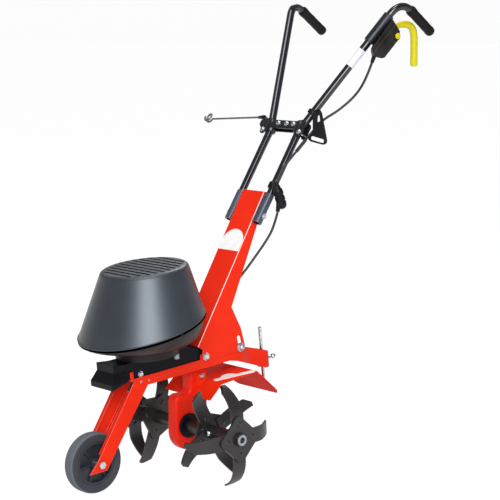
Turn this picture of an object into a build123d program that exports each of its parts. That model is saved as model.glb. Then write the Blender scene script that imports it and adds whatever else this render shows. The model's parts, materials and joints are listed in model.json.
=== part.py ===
from build123d import *
import os
from math import atan2, cos, degrees, hypot, radians, sin

# Electric tiller: a vertical motor under a slotted cowl drives a belt, a worm gear and two
# pairs of tine stars; a folded steel column at the back carries the handles.
# Millimetres. X to the operator's left, Y to the rear, Z up. The origin is on the ground,
# on the centre plane, under the tine shaft.

# Main places and fits
deck_height = 274.0
deck_pitch = 6.0
shaft_height = 120.0
motor_station = -102.0
running_gap = 0.05
part_gap = 0.3

# Frame: inverted channel with ears for the column
frame_half = 36.5
frame_sheet = 3.0
frame_depth = 22.0
frame_tip = -189.0
frame_front = -140.0
frame_tail = 118.0
frame_rear = 152.0
ear_width = 26.0
ear_height = 16.0
ear_round = 7.0
tab_station = -178.0
tab_width = 8.0
tab_height = 17.0
crease_drop = 11.0
crease_size = 1.2

# Column: folded channel straddling the frame, tilting about its front bolts
column_half = 40.0
column_sheet = 2.5
pivot_station = 35.0
pivot_rise = 6.4
clamp_station = 141.0
clamp_rise = 5.0
column_bolt_radius = 5.0
column_foot_radius = 10.0
tilt_range = 12.0
column_fold = 3.0
# These six are given above the deck's height
column_foot = (12.0, 35.0)
column_notch = (26.0, 26.0)
column_toe = (36.0, 0.6)
column_heel = (154.0, 14.0)
column_back = (142.0, 65.0)
column_kink = (113.0, 119.0)
column_top_rear = (224.0, 660.0)
column_top = (214.5, 662.0)
bolt_head = 9.0
bolt_head_thick = 6.0
bolt_washer = 10.5

# Drive cover on the frame plate
cover_half = 32.5
cover_wall = 2.8
cover_front = -225.0
cover_step = -190.5
cover_brow = 42.3
cover_top = 38.0
cover_tail = 28.0
cover_slope = -25.0
cover_rear = 66.0
cover_rear_round = 24.0
nose_lip = 24.6
nose_edge = 1.0
nose_half = 42.0
nose_reach = 14.0
nose_drop = 12.0
cover_bolt_station = -151.0
cover_bolt_rise = 6.8

# Motor
base_radius = 75.0
base_bore = 66.0
base_floor = 8.0
rim_y = -123.0
rim_rise = 98.0
rim_pitch = 15.7
rim_radius = 150.5
crown_y = -114.0
crown_rise = 232.0
crown_pitch = 7.8
crown_radius = 101.6
crown_round = 12.0
cowl_wall = 3.2
lip_depth = 5.0
slot_count = 10
slot_width = 7.0
slot_pitch = 17.2
slot_margin = 14.0
pan_edge = 5.0
pan_depth = 38.0
pan_foot_radius = 88.0
pan_wall = 3.0
cowl_screw_head = 4.0
cowl_screw_thick = 2.0
stator_bore = 41.0
stator_height = 84.0
winding_outer = 60.0
winding_height = 14.0
rotor_gap = 0.6
rotor_height = 72.0
motor_shaft_radius = 8.5
motor_bearing_radius = 20.0
bracket_thick = 4.0
bracket_boss = 26.0
bracket_boss_height = 15.0
fan_radius = 82.0
fan_hub_radius = 18.0
fan_gap = 10.0
fan_disc = 3.0
fan_blade_height = 20.0
fan_blade_thick = 2.5
fan_blade_count = 9

# Belt drive inside the cover
motor_groove = 13.0
worm_groove = 25.0
groove_flange = 2.8
pulley_rise = 7.0
pulley_width = 14.0
pulley_flange = 2.2
belt_thick = 4.0

# Gear case and worm gear
case_half = 17.0
case_radius = 48.5
case_y = 10.5
case_z = 106.5
case_round = 8.0
case_shoulder = 196.0
case_shoulder_round = 16.0
case_neck_front = 5.0
case_neck_round = 12.0
worm_radius = 8.0
worm_length = 44.0
worm_shaft_radius = 6.0
worm_bearing_radius = 12.0
worm_bearing_width = 9.0
worm_foot_drop = 34.0
gear_radius = 28.0
gear_half = 7.5
gear_gap = 0.5
shaft_radius = 12.5
shaft_bearing_radius = 21.0
bearing_inset = 9.3
cap_radius = 29.0
cap_thick = 7.0

# Tines
hub_radius = 16.0
hub_start = 25.5
hub_end = 216.0
inner_star = 98.0
outer_star = 203.0
star_plate = 66.0
star_round = 8.0
plate_thick = 5.0
blade_thick = 4.5
blade_width = 35.0
blade_tip_width = 25.0
blade_root = 23.0
blade_bend = 50.0
outer_turn = 72.0
inner_turn = 36.0
tine_radius = 119.6
outer_angle = 4.0
inner_angle = 30.0
inner_stagger = 45.0
rivet_reach = 36.0
rivet_radius = 4.0
rivet_head = 6.5
rivet_proud = 2.5
pin_station = 112.0
pin_radius = 3.5
pin_proud = 6.0
shaft_bore = 7.0
shaft_bore_depth = 14.0

# Mudguard
guard_half = 86.0
guard_sheet = 2.0
guard_lip = (10.0, 189.0)
guard_front = (44.0, 223.0)
guard_back = (153.0, 240.0)
guard_tail = (229.0, 175.0)
guard_corner = 22.0
guard_tab_width = 26.0
guard_tab_height = 26.0
guard_tab_y = 39.0
guard_bolt_z = 233.0
guard_bolt_depth = 7.0

# Depth rod and its bracket
rod_station = 238.0
rod_radius = 4.5
rod_top = 28.0
rod_bottom = -122.0
strap_sheet = 4.0
strap_front = 100.0
strap_bend = 150.0
strap_neck = 187.0
strap_neck_half = 14.0
strap_edge = -4.0
strap_tail = -20.0
strap_crest = 165.0
strap_belly = (137.0, -30.0)
guide_top = -38.0
guide_bottom = -70.0
screw_rise = -54.0
screw_radius = 4.0
screw_reach = 24.0
screw_ball = 7.0

# Front wheel and fork arms
wheel_y = -263.0
wheel_radius = 70.0
wheel_half = 16.0
tyre_round = 7.0
rim_outer = 50.0
rim_lip_half = 13.0
rim_ring = 6.0
rim_web_half = 2.5
rim_hub = 14.0
rib_count = 6
rib_width = 5.0
rib_half = 8.0
axle_radius = 5.0
axle_head = 9.0
axle_head_thick = 6.0
fork_sheet = 3.0
fork_fold = 8.0
# Foot of the arm as seen from the axle, head of the arm along and above the deck
fork_toe = (-31.0, -19.0)
fork_shin = (-8.0, 10.0)
fork_heel = (16.0, -15.0)
fork_crest = (-169.5, -5.3)
fork_back = (-123.2, -5.2)
fork_knee = (-130.8, -19.4)
fork_bolt_front = (-14.0, -10.0)
fork_bolt_rear = (8.0, -12.0)

# Handles
socket_lean = 32.0
socket_y = 201.0
socket_z = 622.0
socket_below = 38.0
socket_above = 39.0
socket_radius = 11.5
pad_width = 14.0
socket_bolt = (193.0, 606.0)
lower_radius = 9.0
upper_radius = 8.0
tube_wall = 1.4
joint_z = 803.0
joint_setback = 12.0
insert_length = 70.0
elbow_radius = 40.0
corner_half = 196.0
corner_y = 512.0
corner_z = 1116.0
corner_radius = 28.0
grip_half = 195.0
grip_y = 616.0
grip_z = 1038.0
grip_length = 92.0
grip_radius = 11.3
grip_rib = 0.8
grip_rib_width = 3.4
grip_rib_count = 12
grip_cap = 3.0
bar_half = 76.0
bar_low = -4.0
bar_high = 22.0
bar_sheet = 3.0
bar_bolt_radius = 3.0
bar_bolt_head = 6.0
bar_bolt_thick = 4.0

# Switch box on the left handle
box_inner = 160.0
box_outer = 195.0
box_corners = ((487.0, 1070.0), (514.0, 1044.0), (454.0, 978.0), (420.0, 999.0))
box_round = 6.0
sleeve_radius = 13.0
sleeve_low = 1016.0
sleeve_high = 1080.0
button_place = (502.0, 1030.0)
button_radius = 7.5
button_rim = 11.0
button_rim_depth = 10.5
button_proud = 3.5
button_depth = 5.5
button_travel = 3.0
lever_inset = 17.0
lever_pin = 3.0
lever_boss = 8.0
lever_inner = 170.0
lever_outer = 183.0
lever_width = 15.0
# The lever's bends as seen from its hinge
lever_bend = (35.0, 13.0)
lever_knee = (77.0, -8.0)
lever_tip = (77.0, -83.0)
lever_bend_round = 14.0
lever_knee_round = 11.0
lever_round = 3.0
lever_notch = 60.0

# Cord hook, cord connector and wire arm
hook_inner = 85.0
hook_sheet = 3.0
hook_outline = ((324.0, 854.0), (360.0, 847.0), (377.0, 776.0), (332.0, 779.0))
hook_low_slot = (352.0, 787.0)
hook_low_turn = -4.0
hook_low_width = 9.0
hook_high_slot = (351.0, 824.0)
hook_high_turn = -62.0
hook_high_width = 8.0
hook_slot_length = 34.0
hook_clip_z = 840.0
hook_clip_radius = 11.5
hook_clip_half = 7.0
plug_inner = 64.0
plug_outer = 86.0
boot_radius = 5.0
boot_length = 12.0
plug_top = (224.0, 674.0)
plug_foot = (226.0, 627.0)
plug_round = 8.0
plug_width = 26.0
collar_radius = 12.5
collar_half = 9.0
wire_radius = 2.4
wire_reach = 240.0
wire_lean = -7.0
wire_elbow = 8.0
eye_radius = 14.0
eye_turn = 290.0
swivel_radius = 5.5
cord_radius = 3.0
cord_gap = 1.5
switch_route = (
    (166.0, 447.0, 970.0),
    (146.0, 445.0, 925.0),
    (118.0, 436.0, 885.0),
    (92.0, 405.0, 850.0),
    (80.2, 362.0, 828.0),
    (80.2, 318.0, 790.0),
    (77.0, 262.0, 738.0),
    (75.5, 234.0, 712.0),
)
motor_route = (
    (73.5, 221.0, 594.0),
    (66.0, 211.0, 560.0),
    (50.0, 179.0, 510.0),
    (32.0, 148.0, 462.0),
    (14.0, 124.0, 430.0),
    (8.0, 104.0, 408.0),
)
gland_place = (50.0, -57.0)
gland_radius = 6.0
gland_length = 14.0

deck = Plane(
    origin=(0, 0, deck_height),
    x_dir=(1, 0, 0),
    z_dir=(0, -sin(radians(deck_pitch)), cos(radians(deck_pitch))),
)
# Side view in the deck's own axes: local x runs to the rear, local y up from the deck
deck_side = Plane(origin=deck.origin, x_dir=deck.y_dir, z_dir=(1, 0, 0))
rim = Plane(
    origin=(0, rim_y, deck_height + rim_rise),
    x_dir=(1, 0, 0),
    z_dir=(0, -sin(radians(rim_pitch)), cos(radians(rim_pitch))),
)
crown = Plane(
    origin=(0, crown_y, deck_height + crown_rise),
    x_dir=(1, 0, 0),
    z_dir=(0, -sin(radians(crown_pitch)), cos(radians(crown_pitch))),
)


def deck_point(v, w):
    """Side-view place (Y, Z) of a point given along and above the deck."""
    spot = deck.origin + deck.y_dir * v + deck.z_dir * w
    return (spot.Y, spot.Z)


def above_deck(place):
    """Side-view place (Y, Z) of a point whose height is counted from the deck's origin."""
    return (place[0], deck_height + place[1])


def save(piece, name):
    """Label a finished piece and write its STEP file."""
    piece.part.label = name
    export_step(piece.part, f"parts/{name}.step")


os.makedirs("parts", exist_ok=True)

pivot = deck_point(pivot_station, pivot_rise)
clamp = deck_point(clamp_station, clamp_rise)
fork_bolts = tuple(deck_point(frame_front + v, w) for v, w in (fork_bolt_front, fork_bolt_rear))
inner_half = frame_half - frame_sheet

# Tine shaft seen from the deck, and the worm shaft behind it
shaft_drop = (shaft_height - deck_height) * cos(radians(deck_pitch))
shaft_station = (shaft_height - deck_height) * sin(radians(deck_pitch))
worm_station = shaft_station + gear_radius + worm_radius + gear_gap

# Frame channel
with BuildPart() as main_frame:
    with BuildSketch(deck_side):
        Polygon(
            (frame_tip, 0),
            (frame_front, -frame_depth),
            (frame_tail, -frame_depth),
            (frame_rear, -2 * frame_sheet),
            (frame_rear, 0),
            align=None,
        )
    extrude(amount=frame_half, both=True)
    with BuildSketch(deck_side):
        with Locations((0, -frame_sheet)):
            Rectangle(4 * frame_rear, 2 * frame_depth, align=(Align.CENTER, Align.MAX))
    extrude(amount=inner_half, both=True, mode=Mode.SUBTRACT)
    for side in (1, -1):
        with BuildSketch(deck_side.offset(side * frame_half)):
            for station in (pivot_station, clamp_station - 2):
                with Locations((station, -frame_sheet)):
                    RectangleRounded(ear_width, 2 * ear_height, ear_round)
            with Locations((tab_station, 0)):
                Rectangle(tab_width, tab_height, align=(Align.CENTER, Align.MIN))
        extrude(amount=-side * frame_sheet)
        # Pressed crease along the flange
        with BuildSketch(deck_side.offset(side * frame_half)):
            with Locations(((frame_front + frame_tail) / 2, -crease_drop)):
                Rectangle(frame_tail - frame_front - 2 * crease_drop, crease_size)
        extrude(amount=-side * crease_size, mode=Mode.SUBTRACT)
    with BuildSketch(deck_side):
        with Locations((pivot_station, pivot_rise), (clamp_station, clamp_rise)):
            Circle(column_bolt_radius + running_gap)
    extrude(amount=2 * frame_half, both=True, mode=Mode.SUBTRACT)
    with BuildSketch(deck):
        with Locations((0, worm_station)):
            Circle(worm_bearing_radius)
    extrude(amount=2 * frame_sheet, both=True, mode=Mode.SUBTRACT)
    # Holes that take the fork bolts
    with BuildSketch(Plane.YZ):
        with Locations(*fork_bolts):
            Circle(bar_bolt_radius)
    extrude(amount=2 * frame_half, both=True, mode=Mode.SUBTRACT)
save(main_frame, "main_frame")

# Drive cover: a moulded box that stands on the frame plate, with a flared nose
with BuildPart() as drive_cover:
    with BuildSketch(deck_side):
        Polygon(
            (cover_front, 0),
            (cover_front, cover_brow),
            (cover_step, cover_top),
            (cover_slope, cover_top),
            (-cover_slope, cover_tail + 2),
            (cover_rear, cover_tail),
            (cover_rear, 0),
            align=None,
        )
    extrude(amount=cover_half, both=True)
    with BuildSketch(deck) as plan:
        with Locations((0, (cover_front + cover_rear) / 2)):
            Rectangle(2 * cover_half, cover_rear - cover_front)
        fillet(plan.vertices().group_by(Axis.Y)[-1], cover_rear_round)
    extrude(amount=2 * cover_brow, both=True, mode=Mode.INTERSECT)
    # Flared nose skirt ahead of the frame
    with BuildSketch(deck.offset(nose_lip)):
        with Locations((0, (cover_front + cover_step) / 2)):
            Rectangle(2 * cover_half, cover_step - cover_front)
    with BuildSketch(deck.offset(nose_edge)):
        with Locations((0, (cover_front - nose_reach + cover_step) / 2)):
            Rectangle(2 * nose_half, cover_step - cover_front + nose_reach)
    loft()
    with BuildSketch(deck_side):
        Polygon(
            (cover_front - nose_reach, nose_edge),
            (cover_front - nose_reach, -nose_drop),
            (cover_step, nose_edge - 0.5),
            (cover_step, nose_edge),
            align=None,
        )
    extrude(amount=nose_half, both=True)
    # Hollow for the belt, open at the bottom
    with BuildSketch(deck_side):
        Polygon(
            (cover_front + cover_wall, -nose_drop),
            (cover_front + cover_wall, cover_top - cover_wall),
            (cover_slope - cover_wall, cover_top - cover_wall),
            (-cover_slope - cover_wall, cover_tail + 2 - cover_wall),
            (cover_rear - cover_wall, cover_tail - cover_wall),
            (cover_rear - cover_wall, -nose_drop),
            align=None,
        )
    extrude(amount=cover_half - cover_wall, both=True, mode=Mode.SUBTRACT)
    with BuildSketch(deck.offset(nose_lip - cover_wall)):
        with Locations((0, (cover_front + cover_step) / 2)):
            Rectangle(2 * cover_half - 2 * cover_wall, cover_step - cover_front - 2 * cover_wall)
    with BuildSketch(deck.offset(-nose_drop - 1)):
        with Locations((0, (cover_front - nose_reach + cover_step) / 2)):
            Rectangle(2 * nose_half - 2 * cover_wall, cover_step - cover_front + nose_reach - 2 * cover_wall)
    loft(mode=Mode.SUBTRACT)
    # Hole for the motor shaft
    with BuildSketch(deck):
        with Locations((0, motor_station)):
            Circle(motor_bearing_radius)
    extrude(amount=2 * cover_brow, mode=Mode.SUBTRACT)
    # Side bolt holes
    with BuildSketch(deck_side):
        with Locations((cover_bolt_station, cover_bolt_rise)):
            Circle(bar_bolt_radius)
    extrude(amount=2 * cover_half, both=True, mode=Mode.SUBTRACT)
save(drive_cover, "drive_cover")

# Motor base: a cup under the pan that seats the stator and the lower bearing
stator_seat = cover_top + base_floor
with BuildPart() as motor_base:
    with BuildSketch(deck.offset(cover_top)):
        with Locations((0, motor_station)):
            Circle(base_radius)
    extrude(amount=2 * base_radius)
    split(bisect_by=rim.offset(-pan_depth), keep=Keep.BOTTOM)
    with BuildSketch(deck.offset(stator_seat)):
        with Locations((0, motor_station)):
            Circle(base_bore)
    extrude(amount=2 * base_radius, mode=Mode.SUBTRACT)
    with BuildSketch(deck.offset(cover_top)):
        with Locations((0, motor_station)):
            Circle(motor_bearing_radius)
    extrude(amount=base_floor, mode=Mode.SUBTRACT)
save(motor_base, "motor_base")

# Pan that closes the cowl from below
with BuildPart() as motor_pan:
    with BuildSketch(rim):
        Circle(rim_radius - cowl_wall - part_gap)
    extrude(amount=-pan_edge)
    with BuildSketch(rim.offset(-pan_edge)):
        Circle(rim_radius - cowl_wall - part_gap)
    with BuildSketch(rim.offset(-pan_depth)):
        Circle(pan_foot_radius)
    loft()
    # Hollow of the dish
    with BuildSketch(rim):
        Circle(rim_radius - cowl_wall - part_gap - pan_wall)
    extrude(amount=-pan_edge, mode=Mode.SUBTRACT)
    with BuildSketch(rim.offset(-pan_edge)):
        Circle(rim_radius - cowl_wall - part_gap - pan_wall)
    with BuildSketch(rim.offset(pan_wall - pan_depth)):
        Circle(pan_foot_radius - pan_wall)
    loft(mode=Mode.SUBTRACT)
    with BuildSketch(deck.offset(cover_top)):
        with Locations((0, motor_station)):
            Circle(base_bore)
    extrude(amount=4 * base_radius, mode=Mode.SUBTRACT)
save(motor_pan, "motor_pan")

# Cowl: leaning cone with a slotted crown
with BuildPart() as motor_cowl:
    with BuildSketch(rim):
        Circle(rim_radius)
    with BuildSketch(crown):
        Circle(crown_radius)
    loft()
    fillet(motor_cowl.edges().sort_by(Axis.Z)[-1], crown_round)
    with BuildSketch(rim.offset(-lip_depth)):
        Circle(rim_radius + 1)
    extrude(amount=lip_depth + 2)
    with BuildSketch(rim):
        Circle(rim_radius - cowl_wall)
    with BuildSketch(crown.offset(-cowl_wall)):
        Circle(crown_radius - 2 * cowl_wall)
    loft(mode=Mode.SUBTRACT)
    with BuildSketch(rim):
        Circle(rim_radius - cowl_wall)
    extrude(amount=-2 * lip_depth, mode=Mode.SUBTRACT)
    for index in range(slot_count):
        slot_y = (index - (slot_count - 1) / 2) * slot_pitch
        slot_half = (crown_radius**2 - slot_y**2) ** 0.5 - slot_margin
        with BuildSketch(crown):
            with Locations((0, slot_y)):
                SlotOverall(2 * slot_half, slot_width)
        extrude(amount=3 * cowl_wall, both=True, mode=Mode.SUBTRACT)
save(motor_cowl, "motor_cowl")

# Screws through the lip of the cowl into the pan
with BuildPart() as cowl_screws:
    for turn in (0, 90, 180, 270):
        spot = rim.offset(-pan_edge / 2)
        outward = spot.x_dir * cos(radians(turn)) + spot.y_dir * sin(radians(turn))
        start = spot.origin + outward * (rim_radius + 1)
        with BuildSketch(Plane(origin=start, x_dir=spot.z_dir, z_dir=outward)):
            Circle(cowl_screw_head)
        extrude(amount=cowl_screw_thick)
save(cowl_screws, "cowl_screws")

# Motor stator with its windings
with BuildPart() as motor_stator:
    with BuildSketch(deck.offset(stator_seat)):
        with Locations((0, motor_station)):
            Circle(base_bore - part_gap)
            Circle(stator_bore, mode=Mode.SUBTRACT)
    extrude(amount=stator_height)
    with BuildSketch(deck.offset(stator_seat + stator_height)):
        with Locations((0, motor_station)):
            Circle(winding_outer)
            Circle(stator_bore, mode=Mode.SUBTRACT)
    extrude(amount=winding_height)
save(motor_stator, "motor_stator")

# Upper bearing bracket on top of the windings
bracket_seat = stator_seat + stator_height + winding_height
with BuildPart() as motor_bracket:
    with BuildSketch(deck.offset(bracket_seat)):
        with Locations((0, motor_station)):
            Circle(winding_outer)
    extrude(amount=bracket_thick)
    with BuildSketch(deck.offset(bracket_seat)):
        with Locations((0, motor_station)):
            Circle(bracket_boss)
    extrude(amount=bracket_boss_height)
    with BuildSketch(deck.offset(bracket_seat)):
        with Locations((0, motor_station)):
            Circle(motor_bearing_radius)
    extrude(amount=bracket_boss_height, mode=Mode.SUBTRACT)
save(motor_bracket, "motor_bracket")

# Motor bearings and worm bearings
worm_foot = shaft_drop - worm_foot_drop
with BuildPart() as drive_bearings:
    for height, depth in ((cover_top, base_floor), (bracket_seat, bracket_boss_height)):
        with BuildSketch(deck.offset(height)):
            with Locations((0, motor_station)):
                Circle(motor_bearing_radius)
                Circle(motor_shaft_radius + running_gap, mode=Mode.SUBTRACT)
        extrude(amount=depth)
    for height in (-frame_sheet - worm_bearing_width, worm_foot):
        with BuildSketch(deck.offset(height)):
            with Locations((0, worm_station)):
                Circle(worm_bearing_radius - 2 * running_gap)
                Circle(worm_shaft_radius + running_gap, mode=Mode.SUBTRACT)
        extrude(amount=worm_bearing_width)
save(drive_bearings, "drive_bearings")

# Rotor on its shaft
fan_seat = bracket_seat + bracket_boss_height + fan_gap
with BuildPart() as motor_rotor:
    with BuildSketch(deck.offset(pulley_rise - 2)):
        with Locations((0, motor_station)):
            Circle(motor_shaft_radius)
    extrude(amount=fan_seat + fan_disc + fan_blade_height - pulley_rise)
    with BuildSketch(deck.offset(stator_seat + fan_gap)):
        with Locations((0, motor_station)):
            Circle(stator_bore - rotor_gap)
    extrude(amount=rotor_height)
save(motor_rotor, "motor_rotor")

# Cooling fan under the crown
with BuildPart() as cooling_fan:
    with BuildSketch(deck.offset(fan_seat)):
        with Locations((0, motor_station)):
            Circle(fan_radius)
    extrude(amount=fan_disc)
    with BuildSketch(deck.offset(fan_seat + fan_disc)):
        with Locations((0, motor_station)):
            Circle(fan_hub_radius)
            with PolarLocations((fan_hub_radius + fan_radius) / 2, fan_blade_count):
                Rectangle(fan_radius - fan_hub_radius + 2, fan_blade_thick)
    extrude(amount=fan_blade_height)
    with BuildSketch(deck.offset(fan_seat)):
        with Locations((0, motor_station)):
            Circle(motor_shaft_radius + running_gap)
    extrude(amount=2 * fan_blade_height, mode=Mode.SUBTRACT)
save(cooling_fan, "cooling_fan")

# Drive pulley on the motor shaft
with BuildPart() as drive_pulley:
    with BuildSketch(deck.offset(pulley_rise)):
        with Locations((0, motor_station)):
            Circle(motor_groove)
    extrude(amount=pulley_width)
    for height in (pulley_rise, pulley_rise + pulley_width - pulley_flange):
        with BuildSketch(deck.offset(height)):
            with Locations((0, motor_station)):
                Circle(motor_groove + groove_flange)
        extrude(amount=pulley_flange)
    with BuildSketch(deck.offset(pulley_rise)):
        with Locations((0, motor_station)):
            Circle(motor_shaft_radius + running_gap)
    extrude(amount=pulley_width, mode=Mode.SUBTRACT)
save(drive_pulley, "drive_pulley")

# Driven pulley on the worm shaft
with BuildPart() as driven_pulley:
    with BuildSketch(deck.offset(pulley_rise)):
        with Locations((0, worm_station)):
            Circle(worm_groove)
    extrude(amount=pulley_width)
    for height in (pulley_rise, pulley_rise + pulley_width - pulley_flange):
        with BuildSketch(deck.offset(height)):
            with Locations((0, worm_station)):
                Circle(worm_groove + groove_flange)
        extrude(amount=pulley_flange)
    with BuildSketch(deck.offset(pulley_rise)):
        with Locations((0, worm_station)):
            Circle(worm_shaft_radius + running_gap)
    extrude(amount=pulley_width, mode=Mode.SUBTRACT)
save(driven_pulley, "driven_pulley")

# Belt round both pulleys
with BuildPart() as drive_belt:
    belt_foot = deck.offset(pulley_rise + pulley_flange + part_gap)
    belt_width = pulley_width - 2 * pulley_flange - 2 * part_gap
    with BuildSketch(belt_foot):
        with Locations((0, motor_station)):
            Circle(motor_groove + part_gap + belt_thick)
        with Locations((0, worm_station)):
            Circle(worm_groove + part_gap + belt_thick)
        make_hull()
    extrude(amount=belt_width)
    with BuildSketch(belt_foot):
        with Locations((0, motor_station)):
            Circle(motor_groove + part_gap)
        with Locations((0, worm_station)):
            Circle(worm_groove + part_gap)
        make_hull()
    extrude(amount=belt_width, mode=Mode.SUBTRACT)
save(drive_belt, "drive_belt")

# Worm on its shaft
with BuildPart() as worm_shaft:
    with BuildSketch(deck.offset(worm_foot)):
        with Locations((0, worm_station)):
            Circle(worm_shaft_radius)
    extrude(amount=pulley_rise + pulley_width - worm_foot)
    with BuildSketch(deck.offset(shaft_drop - worm_length / 2)):
        with Locations((0, worm_station)):
            Circle(worm_radius)
    extrude(amount=worm_length)
save(worm_shaft, "worm_shaft")

# Gear case: two castings that meet on the centre plane, a round case under a narrower neck
with BuildPart() as gear_case_left:
    shoulder = (case_y - case_radius, case_shoulder)
    neck = (case_neck_front, case_shoulder)
    with BuildSketch(Plane.YZ) as outline:
        Polygon(
            (case_y - case_radius, case_z),
            shoulder,
            neck,
            (case_neck_front, 2 * deck_height),
            (case_y + case_radius, 2 * deck_height),
            (case_y + case_radius, case_z),
            align=None,
        )
        fillet(outline.vertices().sort_by_distance(shoulder)[0], case_shoulder_round)
        fillet(outline.vertices().sort_by_distance(neck)[0], case_neck_round)
        with Locations((case_y, case_z)):
            Circle(case_radius)
    extrude(amount=case_half)
    fillet(gear_case_left.faces().sort_by(Axis.X)[-1].edges(), case_round)
    split(bisect_by=deck.offset(-frame_sheet), keep=Keep.BOTTOM)
    # Pockets for the worm wheel, the shaft and its bearing
    with BuildSketch(Plane.YZ):
        with Locations((0, shaft_height)):
            Circle(gear_radius + 2)
    extrude(amount=bearing_inset, mode=Mode.SUBTRACT)
    with BuildSketch(Plane.YZ):
        with Locations((0, shaft_height)):
            Circle(shaft_bearing_radius)
    extrude(amount=2 * case_half, mode=Mode.SUBTRACT)
    # Pockets for the worm and its bearings
    with BuildSketch(deck.offset(worm_foot)):
        with Locations((0, worm_station)):
            Circle(worm_radius + 1.5)
    extrude(amount=-worm_foot, mode=Mode.SUBTRACT)
    for height in (-frame_sheet - worm_bearing_width, worm_foot):
        with BuildSketch(deck.offset(height)):
            with Locations((0, worm_station)):
                Circle(worm_bearing_radius)
        extrude(amount=worm_bearing_width, mode=Mode.SUBTRACT)
    # Blind hole for the mudguard bolt
    with BuildSketch(Plane.YZ.offset(case_half)):
        with Locations((guard_tab_y, guard_bolt_z)):
            Circle(bar_bolt_radius)
    extrude(amount=-guard_bolt_depth, mode=Mode.SUBTRACT)
save(gear_case_left, "gear_case_left")

with BuildPart() as gear_case_right:
    mirror(gear_case_left.part, about=Plane.YZ)
save(gear_case_right, "gear_case_right")

# Shaft bearings in the case walls
with BuildPart() as gear_bearings:
    for side in (1, -1):
        with BuildSketch(Plane.YZ.offset(side * bearing_inset)):
            with Locations((0, shaft_height)):
                Circle(shaft_bearing_radius - 2 * running_gap)
                Circle(shaft_radius + running_gap, mode=Mode.SUBTRACT)
        extrude(amount=side * (case_half - bearing_inset))
save(gear_bearings, "gear_bearings")

# Bearing caps on the outside of the case
with BuildPart() as bearing_caps:
    for side in (1, -1):
        with BuildSketch(Plane.YZ.offset(side * case_half)):
            with Locations((0, shaft_height)):
                Circle(cap_radius)
                Circle(shaft_radius + part_gap, mode=Mode.SUBTRACT)
        extrude(amount=side * cap_thick)
    rings = bearing_caps.edges().filter_by(GeomType.CIRCLE)
    fillet(rings.filter_by(lambda ring: ring.radius > cap_radius - 0.1), 1.5)
save(bearing_caps, "bearing_caps")

# Worm wheel on the tine shaft
with BuildPart() as worm_wheel:
    with BuildSketch(Plane.YZ):
        with Locations((0, shaft_height)):
            Circle(gear_radius)
            Circle(shaft_radius + running_gap, mode=Mode.SUBTRACT)
    extrude(amount=gear_half, both=True)
save(worm_wheel, "worm_wheel")

# Tine shaft with bored ends and cross holes for the hub pins
with BuildPart() as tine_shaft:
    with BuildSketch(Plane.YZ):
        with Locations((0, shaft_height)):
            Circle(shaft_radius)
    extrude(amount=hub_end, both=True)
    with BuildSketch(Plane.XZ):
        with Locations((pin_station, shaft_height), (-pin_station, shaft_height)):
            Circle(pin_radius)
    extrude(amount=2 * shaft_radius, both=True, mode=Mode.SUBTRACT)
    for side in (1, -1):
        with BuildSketch(Plane.YZ.offset(side * hub_end)):
            with Locations((0, shaft_height)):
                Circle(shaft_bore)
        extrude(amount=-side * shaft_bore_depth, mode=Mode.SUBTRACT)
save(tine_shaft, "tine_shaft")


def tine_hub(inner_turned):
    """Left hub tube with its two square star plates, the inner one turned to its blades."""
    with BuildPart() as hub:
        with BuildSketch(Plane.YZ.offset(hub_start)):
            with Locations((0, shaft_height)):
                Circle(hub_radius)
        extrude(amount=hub_end - hub_start)
        for station, turn in ((inner_star, inner_turned), (outer_star, outer_angle)):
            with BuildSketch(Plane.YZ.offset(station)):
                with Locations(Location((0, shaft_height), turn + 45)):
                    RectangleRounded(star_plate, star_plate, star_round)
            extrude(amount=plate_thick)
            with BuildSketch(Plane.YZ.offset(station)):
                with Locations((0, shaft_height)):
                    with PolarLocations(rivet_reach, 4, start_angle=turn):
                        Circle(rivet_radius)
            extrude(amount=plate_thick, mode=Mode.SUBTRACT)
        with BuildSketch(Plane.YZ.offset(hub_start)):
            with Locations((0, shaft_height)):
                Circle(shaft_radius + running_gap)
        extrude(amount=hub_end - hub_start, mode=Mode.SUBTRACT)
        with BuildSketch(Plane.XZ):
            with Locations((pin_station, shaft_height)):
                Circle(pin_radius)
        extrude(amount=2 * hub_radius, both=True, mode=Mode.SUBTRACT)
    return hub.part


with BuildPart() as tine_hub_left:
    add(tine_hub(inner_angle))
save(tine_hub_left, "tine_hub_left")

with BuildPart() as tine_hub_right:
    mirror(tine_hub(inner_angle + inner_stagger), about=Plane.YZ)
save(tine_hub_right, "tine_hub_right")


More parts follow.
